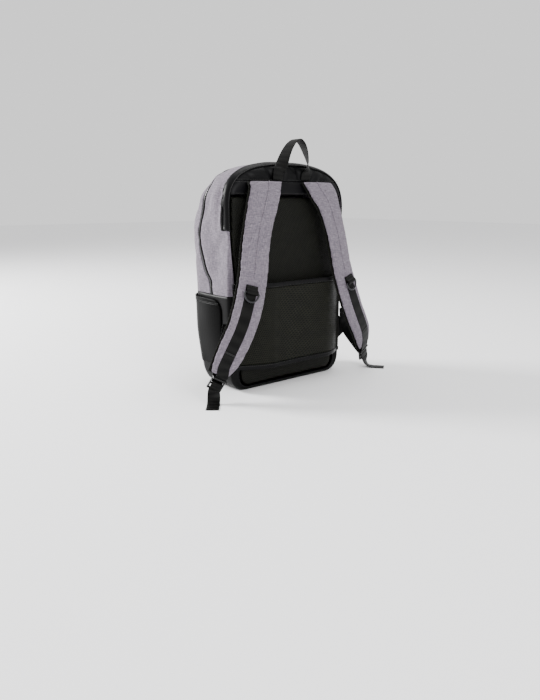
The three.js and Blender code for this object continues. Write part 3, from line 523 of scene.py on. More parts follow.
def melangeWeave():
    # two-tone polyester plain weave: pale and dark yarns give short streaks both ways, matte with a soft nap
    material, tree, shader = newMaterial("melangePolyesterWeave", Roughness=0.88, Specular_IOR_Level=0.2,
                                         Sheen_Weight=0.06, Sheen_Roughness=0.6)
    place = addNode(tree, "ShaderNodeTexCoord").outputs["Object"]
    yarns = []
    for scale in ((1 / 0.0012, 1 / 0.0012, 1 / 0.009), (1 / 0.009, 1 / 0.009, 1 / 0.0012)):
        turned = addNode(tree, "ShaderNodeMapping", {"Vector": place, "Scale": scale})
        streaks = addNode(tree, "ShaderNodeTexNoise", {"Vector": turned.outputs[0], "Scale": 1, "Detail": 2})
        yarns.append(streaks.outputs[0])
    both = addNode(tree, "ShaderNodeMath", {0: yarns[0], 1: yarns[1]}, operation="ADD").outputs[0]
    cloud = addNode(tree, "ShaderNodeTexNoise", {"Vector": place, "Scale": 130, "Detail": 3}).outputs[0]
    tone = addNode(tree, "ShaderNodeMath", {0: cloud, 1: 0.14, 2: both}, operation="MULTIPLY_ADD").outputs[0]
    spreadTone = addNode(tree, "ShaderNodeMapRange", {"Value": tone, "From Min": 0.66, "From Max": 1.48})
    ramp = addNode(tree, "ShaderNodeValToRGB", {"Fac": spreadTone.outputs[0]})
    colour = rampStops(ramp, [(0, "#4a454b"), (0.5, "#67606a"), (1, "#877f88")])
    tree.links.new(colour, shader.inputs["Base Color"])
    yarn = {"Vector": place, "Scale": 1 / 0.0009 / 20, "Distortion": 1.5, "Detail": 1}
    crossed = [addNode(tree, "ShaderNodeTexWave", yarn, bands_direction=way).outputs[1] for way in ("X", "Z")]
    cloth = addNode(tree, "ShaderNodeMath", {0: crossed[0], 1: crossed[1]}, operation="MULTIPLY").outputs[0]
    bump = addNode(tree, "ShaderNodeBump", {"Height": cloth, "Strength": 0.25, "Distance": 0.0003})
    tree.links.new(bump.outputs[0], shader.inputs["Normal"])
    return material


def blackWeave(name="blackPolyesterTwill", rib=0.0022, colour="#040405", blackRibTopSheen="#0b0b0c"):
    # close black polyester twill, calendered on the back: matte with a soft broad sheen on its folds
    material, tree, shader = newMaterial(name, Roughness=0.42, Specular_IOR_Level=0.09)
    place = addNode(tree, "ShaderNodeTexCoord").outputs["Object"]
    grain = addNode(tree, "ShaderNodeTexNoise", {"Vector": place, "Scale": 700, "Detail": 3}).outputs[0]
    colourOut = rampStops(addNode(tree, "ShaderNodeValToRGB", {"Fac": grain}), [(0.3, colour), (0.75, blackRibTopSheen)])
    tree.links.new(colourOut, shader.inputs["Base Color"])
    lines = [addNode(tree, "ShaderNodeTexWave", {"Vector": place, "Scale": 1 / rib / 20, "Distortion": 0.4},
                     bands_direction=way).outputs[1] for way in ("X", "Z")]
    height = addNode(tree, "ShaderNodeMath", {0: lines[0], 1: lines[1]}, operation="ADD").outputs[0]
    both = addNode(tree, "ShaderNodeMath", {0: grain, 1: 0.6, 2: height}, operation="MULTIPLY_ADD").outputs[0]
    bump = addNode(tree, "ShaderNodeBump", {"Height": both, "Strength": 0.22, "Distance": 0.0004})
    tree.links.new(bump.outputs[0], shader.inputs["Normal"])
    return material


def spacerMesh(name, pitch, strandWithPaintedGlint, paintedHoleShade, source, turn=0):
    # warp-knitted spacer mesh: a net of rounded black strands over round holes; the holes are painted dark as
    # painted shade, and the strands' olive tint is a painted glint
    material, tree, shader = newMaterial(name, Roughness=0.5, Specular_IOR_Level=0.1)
    coordinates = addNode(tree, "ShaderNodeTexCoord").outputs[source]
    waves = []
    for angle in (0, 60, 120):
        way = math.radians(angle + turn)
        along = (math.cos(way), math.sin(way), 0) if source == "UV" else (math.cos(way), 0, math.sin(way))
        toPhase = tuple(part * 2 * math.pi / (pitch * mm * 0.866) for part in along)
        dot = addNode(tree, "ShaderNodeVectorMath", {0: coordinates, 1: toPhase}, operation="DOT_PRODUCT")
        wave = addNode(tree, "ShaderNodeMath", {0: dot.outputs["Value"]}, operation="COSINE")
        waves.append(wave.outputs[0])
    pair = addNode(tree, "ShaderNodeMath", {0: waves[0], 1: waves[1]}, operation="ADD").outputs[0]
    cells = addNode(tree, "ShaderNodeMath", {0: pair, 1: waves[2]}, operation="ADD").outputs[0]
    deep = addNode(tree, "ShaderNodeMapRange", {"Value": cells, "From Min": -0.9, "From Max": 1.6})
    depth = deep.outputs[0]
    wear = addNode(tree, "ShaderNodeTexNoise", {"Vector": coordinates, "Scale": 55, "Detail": 2}).outputs[0]
    shade = addNode(tree, "ShaderNodeMapRange", {"Value": wear, "From Min": 0.3, "From Max": 0.7,
                                                 "To Min": 0.75, "To Max": 1.15}).outputs[0]
    # painted shade in the holes and a painted olive glint on the strands, blended by the hole depth
    colour = rampStops(addNode(tree, "ShaderNodeValToRGB", {"Fac": depth}), [(0.05, strandWithPaintedGlint), (0.55, paintedHoleShade)])
    toned = addNode(tree, "ShaderNodeVectorMath", {0: colour, "Scale": shade}, operation="SCALE").outputs[0]
    tree.links.new(toned, shader.inputs["Base Color"])
    relief = {"Height": depth, "Strength": 0.7, "Distance": 0.0009}
    bump = addNode(tree, "ShaderNodeBump", relief, invert=True)
    tree.links.new(bump.outputs[0], shader.inputs["Normal"])
    return material


def stretchKnit():
    # black stretch jersey: very dark and smooth, a faint sheen where it is pulled over a curve
    material, tree, shader = newMaterial("blackStretchJersey", Roughness=0.4, Specular_IOR_Level=0.04)
    place = addNode(tree, "ShaderNodeTexCoord").outputs["Object"]
    grain = addNode(tree, "ShaderNodeTexNoise", {"Vector": place, "Scale": 500, "Detail": 2}).outputs[0]
    ramp = addNode(tree, "ShaderNodeValToRGB", {"Fac": grain})
    tree.links.new(rampStops(ramp, [(0.3, "#010101"), (0.7, "#030303")]), shader.inputs["Base Color"])
    wale = addNode(tree, "ShaderNodeTexWave", {"Vector": place, "Scale": 1 / 0.0011 / 20, "Distortion": 0.6},
                   bands_direction="Y").outputs[1]
    bump = addNode(tree, "ShaderNodeBump", {"Height": wale, "Strength": 0.12, "Distance": 0.0002})
    tree.links.new(bump.outputs[0], shader.inputs["Normal"])
    return material


def ribbedWebbing(name="blackPolyesterWebbing", blackGrooveShade="#030303", blackRibTopSheen="#0e0e0d"):
    # woven polyester webbing: fine ribs across it and a few columns along it; the black colour is painted
    # paler on the rib tops as a satin sheen and darker in the grooves as painted shade
    material, tree, shader = newMaterial(name, Roughness=0.45, Specular_IOR_Level=0.09)
    place = addNode(tree, "ShaderNodeTexCoord").outputs["UV"]
    ribs = addNode(tree, "ShaderNodeTexWave", {"Vector": place, "Scale": 1 / 0.0016 / 20, "Distortion": 0.3},
                   bands_direction="Y").outputs[1]
    lanes = {"Vector": place, "Scale": 1 / 0.0031 / 20, "Distortion": 0.2}
    columns = addNode(tree, "ShaderNodeTexWave", lanes, bands_direction="X").outputs[1]
    both = addNode(tree, "ShaderNodeMath", {0: columns, 1: 0.5, 2: ribs}, operation="MULTIPLY_ADD").outputs[0]
    # colour follows the weave relief: painted sheen on the rib tops, painted shade in the grooves
    tree.links.new(rampStops(addNode(tree, "ShaderNodeValToRGB", {"Fac": both}), [(0.1, blackGrooveShade), (1, blackRibTopSheen)]),
                   shader.inputs["Base Color"])
    bump = addNode(tree, "ShaderNodeBump", {"Height": both, "Strength": 0.5, "Distance": 0.0004})
    tree.links.new(bump.outputs[0], shader.inputs["Normal"])
    return material


def mouldedPlastic():
    # moulded acetal: near black, satin, with a fine spark-eroded grain
    material, tree, shader = newMaterial("blackMouldedAcetal", Base_Color=srgb("#050506"), Roughness=0.3,
                                         Specular_IOR_Level=0.3)
    place = addNode(tree, "ShaderNodeTexCoord").outputs["Object"]
    grain = addNode(tree, "ShaderNodeTexNoise", {"Vector": place, "Scale": 2500, "Detail": 2}).outputs[0]
    bump = addNode(tree, "ShaderNodeBump", {"Height": grain, "Strength": 0.1, "Distance": 0.0001})
    tree.links.new(bump.outputs[0], shader.inputs["Normal"])
    return material


def coatedWire():
    # steel wire with a black coat: glossy dark metal that shows a thin bright line
    material, tree, shader = newMaterial("blackCoatedSteelWire", Base_Color=srgb("#3a3a3c"), Metallic=0.9)
    place = addNode(tree, "ShaderNodeTexCoord").outputs["Object"]
    scuffs = addNode(tree, "ShaderNodeTexNoise", {"Vector": place, "Scale": 900, "Detail": 3}).outputs[0]
    rough = addNode(tree, "ShaderNodeMapRange", {"Value": scuffs, "To Min": 0.2, "To Max": 0.38}).outputs[0]
    tree.links.new(rough, shader.inputs["Roughness"])
    return material


melange = melangeWeave()
twill = blackWeave()
baseCloth = blackWeave("blackBasePolyester", 0.0026, "#030303", "#070708")
yokeCloth = blackWeave("blackRibbedPolyester", 0.0030, "#060607", "#0e0d10")
# the strand colours carry a painted olive glint; the hole colours are painted shade
padMesh = spacerMesh("blackSpacerMesh", 4.2, "#11120c", "#010101", "Object", 12)
sleeveMesh = spacerMesh("blackSleeveMesh", 4.7, "#16170f", "#010101", "UV", 20)
jersey = stretchKnit()
webbing = ribbedWebbing()
acetal = mouldedPlastic()
wire = coatedWire()
# spun polyester thread: black and matt, a touch paler than the cloth
thread = newMaterial("blackPolyesterThread", Base_Color=srgb("#1d1d1c"), Roughness=0.6)[0]
print("materials ready")


def deliver(piece, nodes):
    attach(piece, "root")
    if nodes:
        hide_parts(*nodes)
    return piece


# Body


def aroundBag(u):
    return mix(-crownStation, crownStation, u)


zipParts = {"space": 10.6, "tape": 10.4, "coil": 5.8, "rise": 0.6, "rows": 1100, "slider": 285}


def rolled(across, edge=0.05, drop=1.4):
    near = min(across, 1 - across) / edge
    return -drop * (1 - min(near, 1)) ** 2


def makeFrontShell():
    def place(u, v):
        station = aroundBag(u)
        start = shiftedSeam(station, "zip", zipParts["space"] / 2)
        share = v**1.25
        return bagPoint(station, mix(start, 5, share), -1.3 * max(0, 1 - v / 0.03) ** 2)

    piece = fabricPiece("frontShell", 210, 60, place, melange, keep=[(body["baseSeam"] + body["seam"], True)])
    deliver(piece, ["front_shell"])


def makeRearGusset():
    def place(u, v):
        station = aroundBag(u)
        start = shiftedSeam(station, "back", body["seam"])
        end = shiftedSeam(station, "zip", -zipParts["space"] / 2)
        return bagPoint(station, mix(start, end, v), rolled(v))

    piece = fabricPiece("rearGusset", 230, 40, place, melange, keep=[(body["baseSeam"] + body["seam"], True)])
    deliver(piece, ["rear_gusset"])


def makeBaseTub():
    def place(u, v):
        station = aroundBag(u)
        return bagPoint(station, mix(shiftedSeam(station, "back", body["seam"]), 5, v))

    piece = fabricPiece("baseTub", 200, 70, place, baseCloth, keep=[(body["baseSeam"] - body["seam"], False)])
    deliver(piece, ["base_tub"])


zipStart = stationAtHeight(body["baseSeam"] + 0.6)


def aboveStations(u, start):
    where = mix(start, 2 * crownStation - start, u)
    return where if where <= crownStation else where - 2 * crownStation


def makeZip():
    def tape(u, v):
        station = aboveStations(u, zipStart)
        across = mix(-zipParts["tape"] / 2, zipParts["tape"] / 2, v)
        return bagPoint(station, shiftedSeam(station, "zip", across), -1.2)

    deliver(fabricPiece("zipTape", 150, 4, tape, twill, wall=1), ["main_zip_tape"])

    rows = zipParts["rows"]

    def coil(u, v):
        station = aboveStations(u, zipStart)
        across = mix(-1, 1, v)
        tooth = 0.5 + 0.5 * math.cos(math.pi * round(u * rows))
        lift = mix(-0.4, zipParts["rise"], math.sqrt(max(0, 1 - across * across)) * mix(0.62, 1, tooth))
        return bagPoint(station, shiftedSeam(station, "zip", across * zipParts["coil"] / 2), lift)

    deliver(fabricPiece("zipCoil", rows, 6, coil, acetal, wall=0.3), ["main_zip_coil"])


def frameOn(station, step, lift):
    point = bagPoint(station, step, lift, False)
    up = bagPoint(station + 0.2, step, lift, False) - bagPoint(station - 0.2, step, lift, False)
    side = bagPoint(station, step + 0.05, lift, False) - bagPoint(station, step - 0.05, lift, False)
    up.normalize()
    out = up.cross(side).normalized()
    if out.x * point.x < 0:
        out.negate()
    side = out.cross(up).normalized()
    return Matrix((side, up, out)).transposed().to_4x4(), point


def makeSlider():
    station = stationAtHeight(zipParts["slider"] + 6)
    turn, point = frameOn(station, zipStep(station), 1.8)
    put = Matrix.Translation(point * mm) @ turn
    bm = bmesh.new()
    for size, move in (  # upper plate, lower plate, bridge, puller
        ((8, 12, 1.4), (0, 0, 2.2)), ((6.4, 10, 0.9), (0, 0, 0.5)),
        ((2.4, 7, 1.6), (0, 0, 3.4)), ((4.4, 20, 1.3), (0, -14, 3.1)),
    ):
        cube = bmesh.ops.create_cube(bm, size=1)
        bmesh.ops.scale(bm, vec=[part * mm for part in size], verts=cube["verts"])
        bmesh.ops.translate(bm, vec=[part * mm for part in move], verts=cube["verts"])
    bmesh.ops.bevel(
        bm, geom=bm.edges[:], offset=0.35 * mm, affect="EDGES", segments=2, profile=0.5, material=-1)
    bmesh.ops.transform(bm, matrix=put, verts=bm.verts)
    deliver(finishMesh(bm, "zipSlider", acetal), ["zip_slider"])


bandParts = {"width": 15, "wall": 1.5, "lift": 0.9, "end": 323}
bandStart = stationAtHeight(bandParts["end"])


def makeTopBand():
    def bandStep(station, across):
        start = backSeamStep(station) - 0.2
        return stepAlong(station, start, across * bandParts["width"])

    def place(u, v):
        station = aboveStations(u, bandStart)
        lift = bandParts["lift"] + bandParts["wall"] + rolled(v, 0.12, 0.7)
        return bagPoint(station, bandStep(station, v), lift)

    piece = fabricPiece("topBand", 170, 10, place, twill, wall=1.5)
    deliver(piece, ["top_band"])
    marks = []
    for line in (0.1, 0.9):
        for index in range(170):
            station = aboveStations((index + 0.5) / 170, bandStart)
            point = bagPoint(station, bandStep(station, line), bandParts["lift"] + 1.45)
            ahead = bagPoint(station + 0.05, bandStep(station + 0.05, line), bandParts["lift"] + 1.45)
            normal = bagPoint(station, bandStep(station, line), bandParts["lift"] + 3.45) - point
            marks.append((point, ahead - point, normal))
    deliver(stitchRow("topBandStitches", marks, thread), [])


def panelPlace(start, end):
    def place(u, v):
        station = aroundBag(u)
        step = mix(start, shiftedSeam(station, "back", end), v)
        return bagPoint(station, step, rolled(v, 0.06, 0.9) if v > 0.5 else 0)
    return place


padParts = {"wall": 12, "sewn": 4, "voxel": 5, "pressure": 3, "frames": 14, "cap": 2.5, "keep": 0.8}


def makeBackPad():
    def place(u, v):
        station = aroundBag(u)
        return bagPoint(station, mix(-1, shiftedSeam(station, "back", -body["seam"]), v), -0.5)

    bm = gridMesh(96, 24, place)
    bmesh.ops.bisect_plane(
        bm, geom=bm.verts[:] + bm.edges[:] + bm.faces[:], dist=0.01 * mm,
        plane_co=(0, 0, (body["padTop"] - body["seam"]) * mm), plane_no=(0, 0, 1), clear_outer=True)
    pointOut(bm, bagCentre)
    walls = bmesh.ops.extrude_face_region(bm, geom=bm.faces[:])
    inner = [item for item in walls["geom"] if isinstance(item, bmesh.types.BMVert)]
    for vert in inner:
        near = any(len(rim.link_faces) == 2 and any(abs(face.normal.y) < 0.3 for face in rim.link_faces)
                   for rim in vert.link_edges)
        vert.co.y += (padParts["sewn"] if near else padParts["wall"]) * mm
        vert.co.x *= 0.985
    bmesh.ops.recalc_face_normals(bm, faces=bm.faces)
    piece = finishMesh(bm, "backPad", padMesh)
    plump(piece, padParts)
    deliver(piece, ["back_pad"])


def makeYoke():
    gap = body["seam"]
    for name, node, low, high, cloth in (
        ("yokeLower", "yoke_lower", body["padTop"] + gap, body["strapSeam"] - gap, yokeCloth),
        ("yokeUpper", "yoke_upper", body["strapSeam"] + gap, 600, twill),
    ):
        kept = [(low, True), (high, False)]
        piece = fabricPiece(name, 240, 34, panelPlace(-0.3, -gap), cloth, wall=3.6, keep=kept)
        deliver(piece, [node])
    marks = []
    seam = body["strapSeam"]
    for height, count in ((body["padTop"] + 2.6, 74), (seam - 2.4, 72), (seam + 2.6, 70)):
        for index in range(count):
            x = mix(-136, 136, (index + 0.5) / count)
            point = Vector((x, depthToY(-0.2) - dropY(x, height), height))
            marks.append((point, Vector((1, 0, 0)), Vector((0, -1, 0))))
    deliver(stitchRow("yokeStitches", marks, thread, (2.8, 0.5, 0.5)), [])


def dropY(x, z):
    return -dropAt(Vector((x, depthToY(0), z)), creaseLines)


# Trolley sleeve

sleeveLine = [
    (-0.975, 0), (-0.93, 0), (-0.84, 0.12), (-0.72, 0.46), (-0.58, 0.82), (-0.44, 1), (-0.3, 0.97), (0, 0.9),
    (0.3, 0.93), (0.5, 1), (0.62, 0.95), (0.75, 0.66), (0.86, 0.26), (0.93, 0), (0.975, 0),
]
sleeveAt = evenly(sleeveLine)
sleeveParts = {"top": 220, "bottom": 46, "bow": 26, "wall": 3, "binding": 9, "bindingWall": 4, "wide": 316}


def sleevePoint(share):
    def place(at):
        across, out = sleeveAt(min(max(at, 0), 1))
        return Vector((across * halfWidth, depthToY(-body["layGap"] - max(0, out) * sleeveParts["bow"]), 0))
    along = (place(share + 0.01) - place(share - 0.01)).normalized()
    return place(share), Vector((along.y, -along.x, 0))


def makeSleeve():
    low = sleeveParts["bottom"] + sleeveParts["binding"] + body["seam"]
    high = sleeveParts["top"] - sleeveParts["binding"] - body["seam"]

    def place(u, v):
        point, face = sleevePoint(u)
        height = mix(low, high, v)
        soft = 0.9 * noise.noise(Vector((u * 7, v * 2.2, 3.1)))
        hollow = 1.6 * math.sin(math.pi * v) * math.sin(math.pi * u) ** 2
        return point + face * (sleeveParts["wall"] - 0.4 + soft * 0.5 - hollow) + Vector((0, 0, height))

    bm = gridMesh(110, 44, place, (sleeveParts["wide"], high - low))
    pointOut(bm, Vector((0, 60, 120)) * mm)
    sleeve = addModifiers(finishMesh(bm, "trolleySleeve", sleeveMesh), 2.2)
    deliver(sleeve, ["trolley_sleeve"])
    for name, node, bottom, top in (
        ("sleeveBindingBottom", "sleeve_binding_bottom", sleeveParts["bottom"], low - body["seam"]),
        ("sleeveBindingTop", "sleeve_binding_top", high + body["seam"], sleeveParts["top"]),
    ):
        def hem(u, v):
            point, face = sleevePoint(v)
            angle = 2 * math.pi * u
            c, s = math.cos(angle), math.sin(angle)
            height = mix(bottom, top, 0.5 + 0.5 * math.copysign(abs(s) ** 0.35, s))
            thick = mix(0.1, sleeveParts["bindingWall"] - 0.1, 0.5 + 0.5 * math.copysign(abs(c) ** 0.6, c))
            return point + face * thick + Vector((0, 0, height))

        piece = finishMesh(tubeMesh(20, 110, hem, (26, sleeveParts["wide"])), name, twill)
        deliver(piece, [node])
    marks = []
    for height in (sleeveParts["bottom"] + 7.4, sleeveParts["top"] - 7.4):
        for index in range(78):
            point, face = sleevePoint((index + 0.5) / 78)
            ahead = sleevePoint((index + 0.7) / 78)[0]
            spot = point + face * (sleeveParts["bindingWall"] - 0.05) + Vector((0, 0, height))
            marks.append((spot, ahead - point, face))
    deliver(stitchRow("sleeveStitches", marks, thread), [])


# Side pockets

pocketParts = {
    "top": 188, "bottom": 48, "rear": 25, "corner": 26, "bulge": 6, "lift": 0.5,
    "wall": 1.5, "frontStep": 3.55, "hem": 9, "hemWall": 2,
}


def pocketPlace(side, low, high, wall, soft):
    def place(u, v):
        height = mix(low, high, v)
        station = side * stationAtHeight(height)
        into = max(0, (height - pocketParts["top"] + pocketParts["corner"]) / pocketParts["corner"])
        rear = pocketParts["rear"] + pocketParts["corner"] * (1 - math.sqrt(max(0, 1 - into**2)))
        step = mix(stepAtDepth(station, rear), pocketParts["frontStep"], u)
        share = (height - pocketParts["bottom"]) / (pocketParts["top"] - pocketParts["bottom"])
        gape = math.sin(math.pi / 2 * min(max(share, 0), 1))
        lift = pocketParts["lift"] + pocketParts["bulge"] * math.sin(math.pi * u**0.7) * gape
        lift += soft * noise.noise(Vector((u * 3 + side, v * 3, 1)))
        return bagPoint(station, step, lift + wall, False)
    return place


def makePocket(side, label):
    seam = pocketParts["top"] - pocketParts["hem"]
    place = pocketPlace(side, pocketParts["bottom"], seam - body["seam"], pocketParts["wall"], 0.5)
    wall = pocketParts["wall"]
    pocket = fabricPiece(f"sidePocket{label}", 46, 50, place, jersey, wall=wall, flat=(112, 131))
    place = pocketPlace(side, seam, pocketParts["top"] - 0.5, pocketParts["hemWall"], 0)
    hem = fabricPiece(f"pocketHem{label}", 46, 6, place, jersey, wall=pocketParts["hemWall"], flat=(100, 9))
    low = label.lower()
    deliver(pocket, [f"side_pocket_{low}"])
    deliver(hem, [f"pocket_hem_{low}"])
    marks = []
    for index in range(34):
        u = (index + 0.5) / 34
        point, ahead = place(u, 0.12), place(min(u + 0.01, 1), 0.12)
        marks.append((point, ahead - point, Vector((side, 0, 0))))
    deliver(stitchRow(f"pocketStitches{label}", marks, thread), [])


# Shoulder straps

# across as a share of half width, out of the stand, up of the height, and width
strapLine = [
    (0.457, 0.08, 0.918, 1.2), (0.5, 0.28, 0.88, 1.1), (0.575, 0.44, 0.826, 1.02),
    (0.673, 0.54, 0.73, 0.95), (0.74, 0.62, 0.635, 0.94), (0.797, 0.72, 0.531, 0.95),
    (0.906, 0.86, 0.409, 0.97), (1.035, 0.91, 0.31, 0.95), (1.155, 0.89, 0.239, 0.93),
    (1.24, 0.82, 0.188, 0.87), (1.345, 0.6, 0.12, 0.64),
]
strapAt = evenly(strapLine)
strapParts = {
    "width": 68, "wall": 7, "stand": 45, "turn": 9, "lining": 2, "lip": 1.2,
    "webbing": 25, "webbingWall": 1.6, "shift": 4.5,
    "ring": 0.562, "ringWire": 1.8, "ringWidth": 32, "ringDrop": 18,
    "tabLength": 14, "tabWall": 1.2, "voxel": 3.2, "pressure": 4, "frames": 14, "cap": 1.6, "keep": 0.8,
}
webbingLift = strapParts["wall"] + body["layGap"] + strapParts["webbingWall"] / 2
tabLift = webbingLift + strapParts["webbingWall"] / 2 + body["layGap"] + strapParts["tabWall"] / 2
ringLift = tabLift + strapParts["tabWall"] + body["layGap"] + strapParts["ringWire"]


def strapPoint(side, share):
    across, out, up = strapAt(min(max(share, 0), 1))[:3]
    return Vector((side * across * halfWidth, depthToY(-out * strapParts["stand"]), up * body["height"]))


def strapFrame(side, share):
    down = (strapPoint(side, share + 0.01) - strapPoint(side, share - 0.01)).normalized()
    free = smooth(share, 0, 0.22)
    turn = math.radians(strapParts["turn"]) * free
    face = Vector((side * math.sin(turn), -math.cos(turn), 0))
    face = (face - down * face.dot(down)).normalized()
    across = face.cross(down).lerp(Vector((1, 0, 0)), 1 - free).normalized()
    return {"point": strapPoint(side, share), "down": down, "face": face, "across": across,
            "width": strapAt(min(max(share, 0), 1))[3] * strapParts["width"]}


def inFrame(at, across, up, out):
    return at["point"] + at["across"] * across - at["down"] * up + at["face"] * out


def makeStrap(side, label):
    low = label.lower()

    def place(u, v):
        at = strapFrame(side, v)
        half = at["width"] / 2
        angle = 2 * math.pi * u
        c, s = math.cos(angle), math.sin(angle)
        across = math.copysign(abs(c) ** 0.5, c)
        if s >= 0:
            top = strapParts["wall"] * (0.72 + 0.28 * (1 - abs(across) ** 3))
            rise = mix(strapParts["wall"] * 0.35, top, min(1, s * 2.2))
        else:
            rise = mix(strapParts["wall"] * 0.35, 0.3, min(1, -s * 3))
        end = smooth(v, 0.93, 1)
        return inFrame(at, across * (half + 0.8) * (1 - 0.14 * end * end), 0, rise)

    bm = tubeMesh(32, 96, place, (120, 400))
    pad = plump(finishMesh(bm, f"strapPad{label}", melange), strapParts)
    deliver(pad, [f"strap_pad_{low}"])

    def lining(u, v):
        at = strapFrame(side, v)
        angle = 2 * math.pi * u
        c, s = math.cos(angle), math.sin(angle)
        across = math.copysign(abs(c) ** 0.4, c) * (at["width"] / 2 + strapParts["lip"])
        deep = strapParts["lining"] * (0.5 - 0.5 * math.copysign(abs(s) ** 0.5, s))
        return inFrame(at, across, 0, -body["layGap"] - deep)

    piece = finishMesh(tubeMesh(24, 90, lining, (140, 400)), f"strapLining{label}", padMesh)
    deliver(piece, [f"strap_lining_{low}"])

    # raised middle seam from the shoulder down to the D-ring, laid on the filled pad
    tree = BVHTree.FromObject(pad, bpy.context.evaluated_depsgraph_get())

    def cord(share):
        at = strapFrame(side, mix(0.015, strapParts["ring"] - 0.05, share))
        hit = tree.ray_cast(inFrame(at, side * mix(-5, 1, share), 0, 30) * mm, -at["face"])[0]
        return hit / mm + at["face"] * 0.35, at["across"]

    seam = ribbonPiece(f"strapSeam{label}", cord, 3.6, 2, melange, 90, 10)
    deliver(seam, [])


lockParts = {
    "width": 32, "bar": 4, "wall": 4, "upper": 8, "lower": 6, "lift": 3, "shift": 5.5, "gap": 4, "lip": 1.4,
}
lockDrop = lockParts["bar"] * 1.5 + lockParts["upper"] + lockParts["gap"]


def lockFrame(side):
    at = strapFrame(side, 1)
    at["point"] = inFrame(at, -side * lockParts["shift"], -lockDrop, lockParts["lift"])
    return at


# where the webbing runs: a share of its shift outside the strap's middle
def webbingFrame(side, share, shift=1):
    at = strapFrame(side, share)
    at["point"] = inFrame(at, side * shift * strapParts["shift"], 0, 0)
    return at


def makeStrapWebbing(side, label):
    low = label.lower()
    ring = webbingFrame(side, strapParts["ring"])
    stops = [(inFrame(ring, 0, strapParts["tabLength"], webbingLift), ring["across"])]
    for share, shift in ((strapParts["ring"], 1), (0.64, 1), (0.72, 1), (0.8, 1), (0.88, 0.9), (0.95, 0.3)):
        at = webbingFrame(side, share, shift)
        stops.append((inFrame(at, 0, 0, webbingLift), at["across"]))
    lock = lockFrame(side)
    bar, upper, wall = lockParts["bar"], lockParts["upper"], strapParts["webbingWall"]
    reach = (lockParts["wall"] + wall) / 2 + body["layGap"] + 0.2
    below = (bar + wall) / 2 + body["layGap"] + 0.2
    for up, out in (
        (bar + 3.4, webbingLift - lockParts["lift"] + 0.3), (bar / 2 + 2, reach + 0.9), (0, reach),
        (-bar / 2 - 0.6, reach - 0.3), (-below, reach / 2), (-below, 0), (-below, -reach / 2),
        (-bar / 2 - 0.6, 0.3 - reach), (0, -reach), (bar / 2, -reach),
    ):
        stops.append((inFrame(lock, 0, bar + upper + up, out), lock["across"]))
    route = routeThrough(stops)
    piece = ribbonPiece(f"strapWebbing{label}", route, strapParts["webbing"], wall, webbing, 150)
    deliver(piece, [f"strap_webbing_{low}"])
    # bar tack across the webbing
    marks = []
    at = webbingFrame(side, 0.86)
    for index in range(17):
        across = mix(-11.4, 11.4, index / 16)
        for up in (-0.9, 0.9):
            point = inFrame(at, across, up, webbingLift + 0.9)
            marks.append((point, at["across"] + at["down"] * 0.5, at["face"]))
    deliver(stitchRow(f"strapTack{label}", marks, thread, (2.0, 0.5, 0.7)), [])


def makeRing(side, label):
    low = label.lower()
    at = webbingFrame(side, strapParts["ring"])
    turn = ringLift - tabLift + 0.1
    length, wall = strapParts["tabLength"], strapParts["tabWall"]
    path = [
        (length, tabLift), (length / 2, tabLift), (turn * 0.6, tabLift), (-turn * 0.7, ringLift - turn * 0.7),
        (-turn, ringLift), (-turn * 0.7, ringLift + turn * 0.7), (0, ringLift + turn),
        (turn, ringLift + turn * 0.9), (length / 2, tabLift + wall + 1.6),
        (length, tabLift + wall + body["layGap"]),
    ]
    route = routeThrough([(inFrame(at, 0, up, out), at["across"]) for up, out in path])
    deliver(ribbonPiece(f"ringTab{label}", route, strapParts["webbing"], wall, webbing, 60),
            [f"d_ring_tab_{low}"])
    marks = []
    for across in spread(-10.5, 10.5, 12):
        marks.append((inFrame(at, across, length - 2.2, tabLift + wall + 1.0), at["across"], at["face"]))
    deliver(stitchRow(f"ringStitches{label}", marks, thread, (1.3, 0.5, 0.6)), [])

    bow, drop = strapParts["ringWidth"] / 2, strapParts["ringDrop"]
    line = [(-bow, 0), (-bow / 2, 0), (0, 0), (bow / 2, 0), (bow, 0), (bow, (bow - drop) * 0.6)]
    line += [(bow * math.cos(angle), bow - drop + bow * math.sin(angle)) for angle in spread(0, -math.pi, 12)]
    line += [(-bow, (bow - drop) * 0.6)]
    ends = len(line)

    def wirePlace(u, v):
        where = (v % 1) * ends
        first = int(where) % ends
        share = where - int(where)
        here = Vector(line[first]).lerp(Vector(line[(first + 1) % ends]), share)
        along = (Vector(line[(first + 1) % ends]) - Vector(line[first])).normalized()
        normal = Vector((along.y, -along.x))
        angle = 2 * math.pi * u
        away = here + normal * math.cos(angle) * strapParts["ringWire"]
        return inFrame(at, away.x, away.y, ringLift + math.sin(angle) * strapParts["ringWire"])

    piece = finishMesh(tubeMesh(12, ends, wirePlace, closed=True), f"dRing{label}", wire)
    addModifiers(piece, levels=2)
    deliver(piece, [f"d_ring_{low}"])


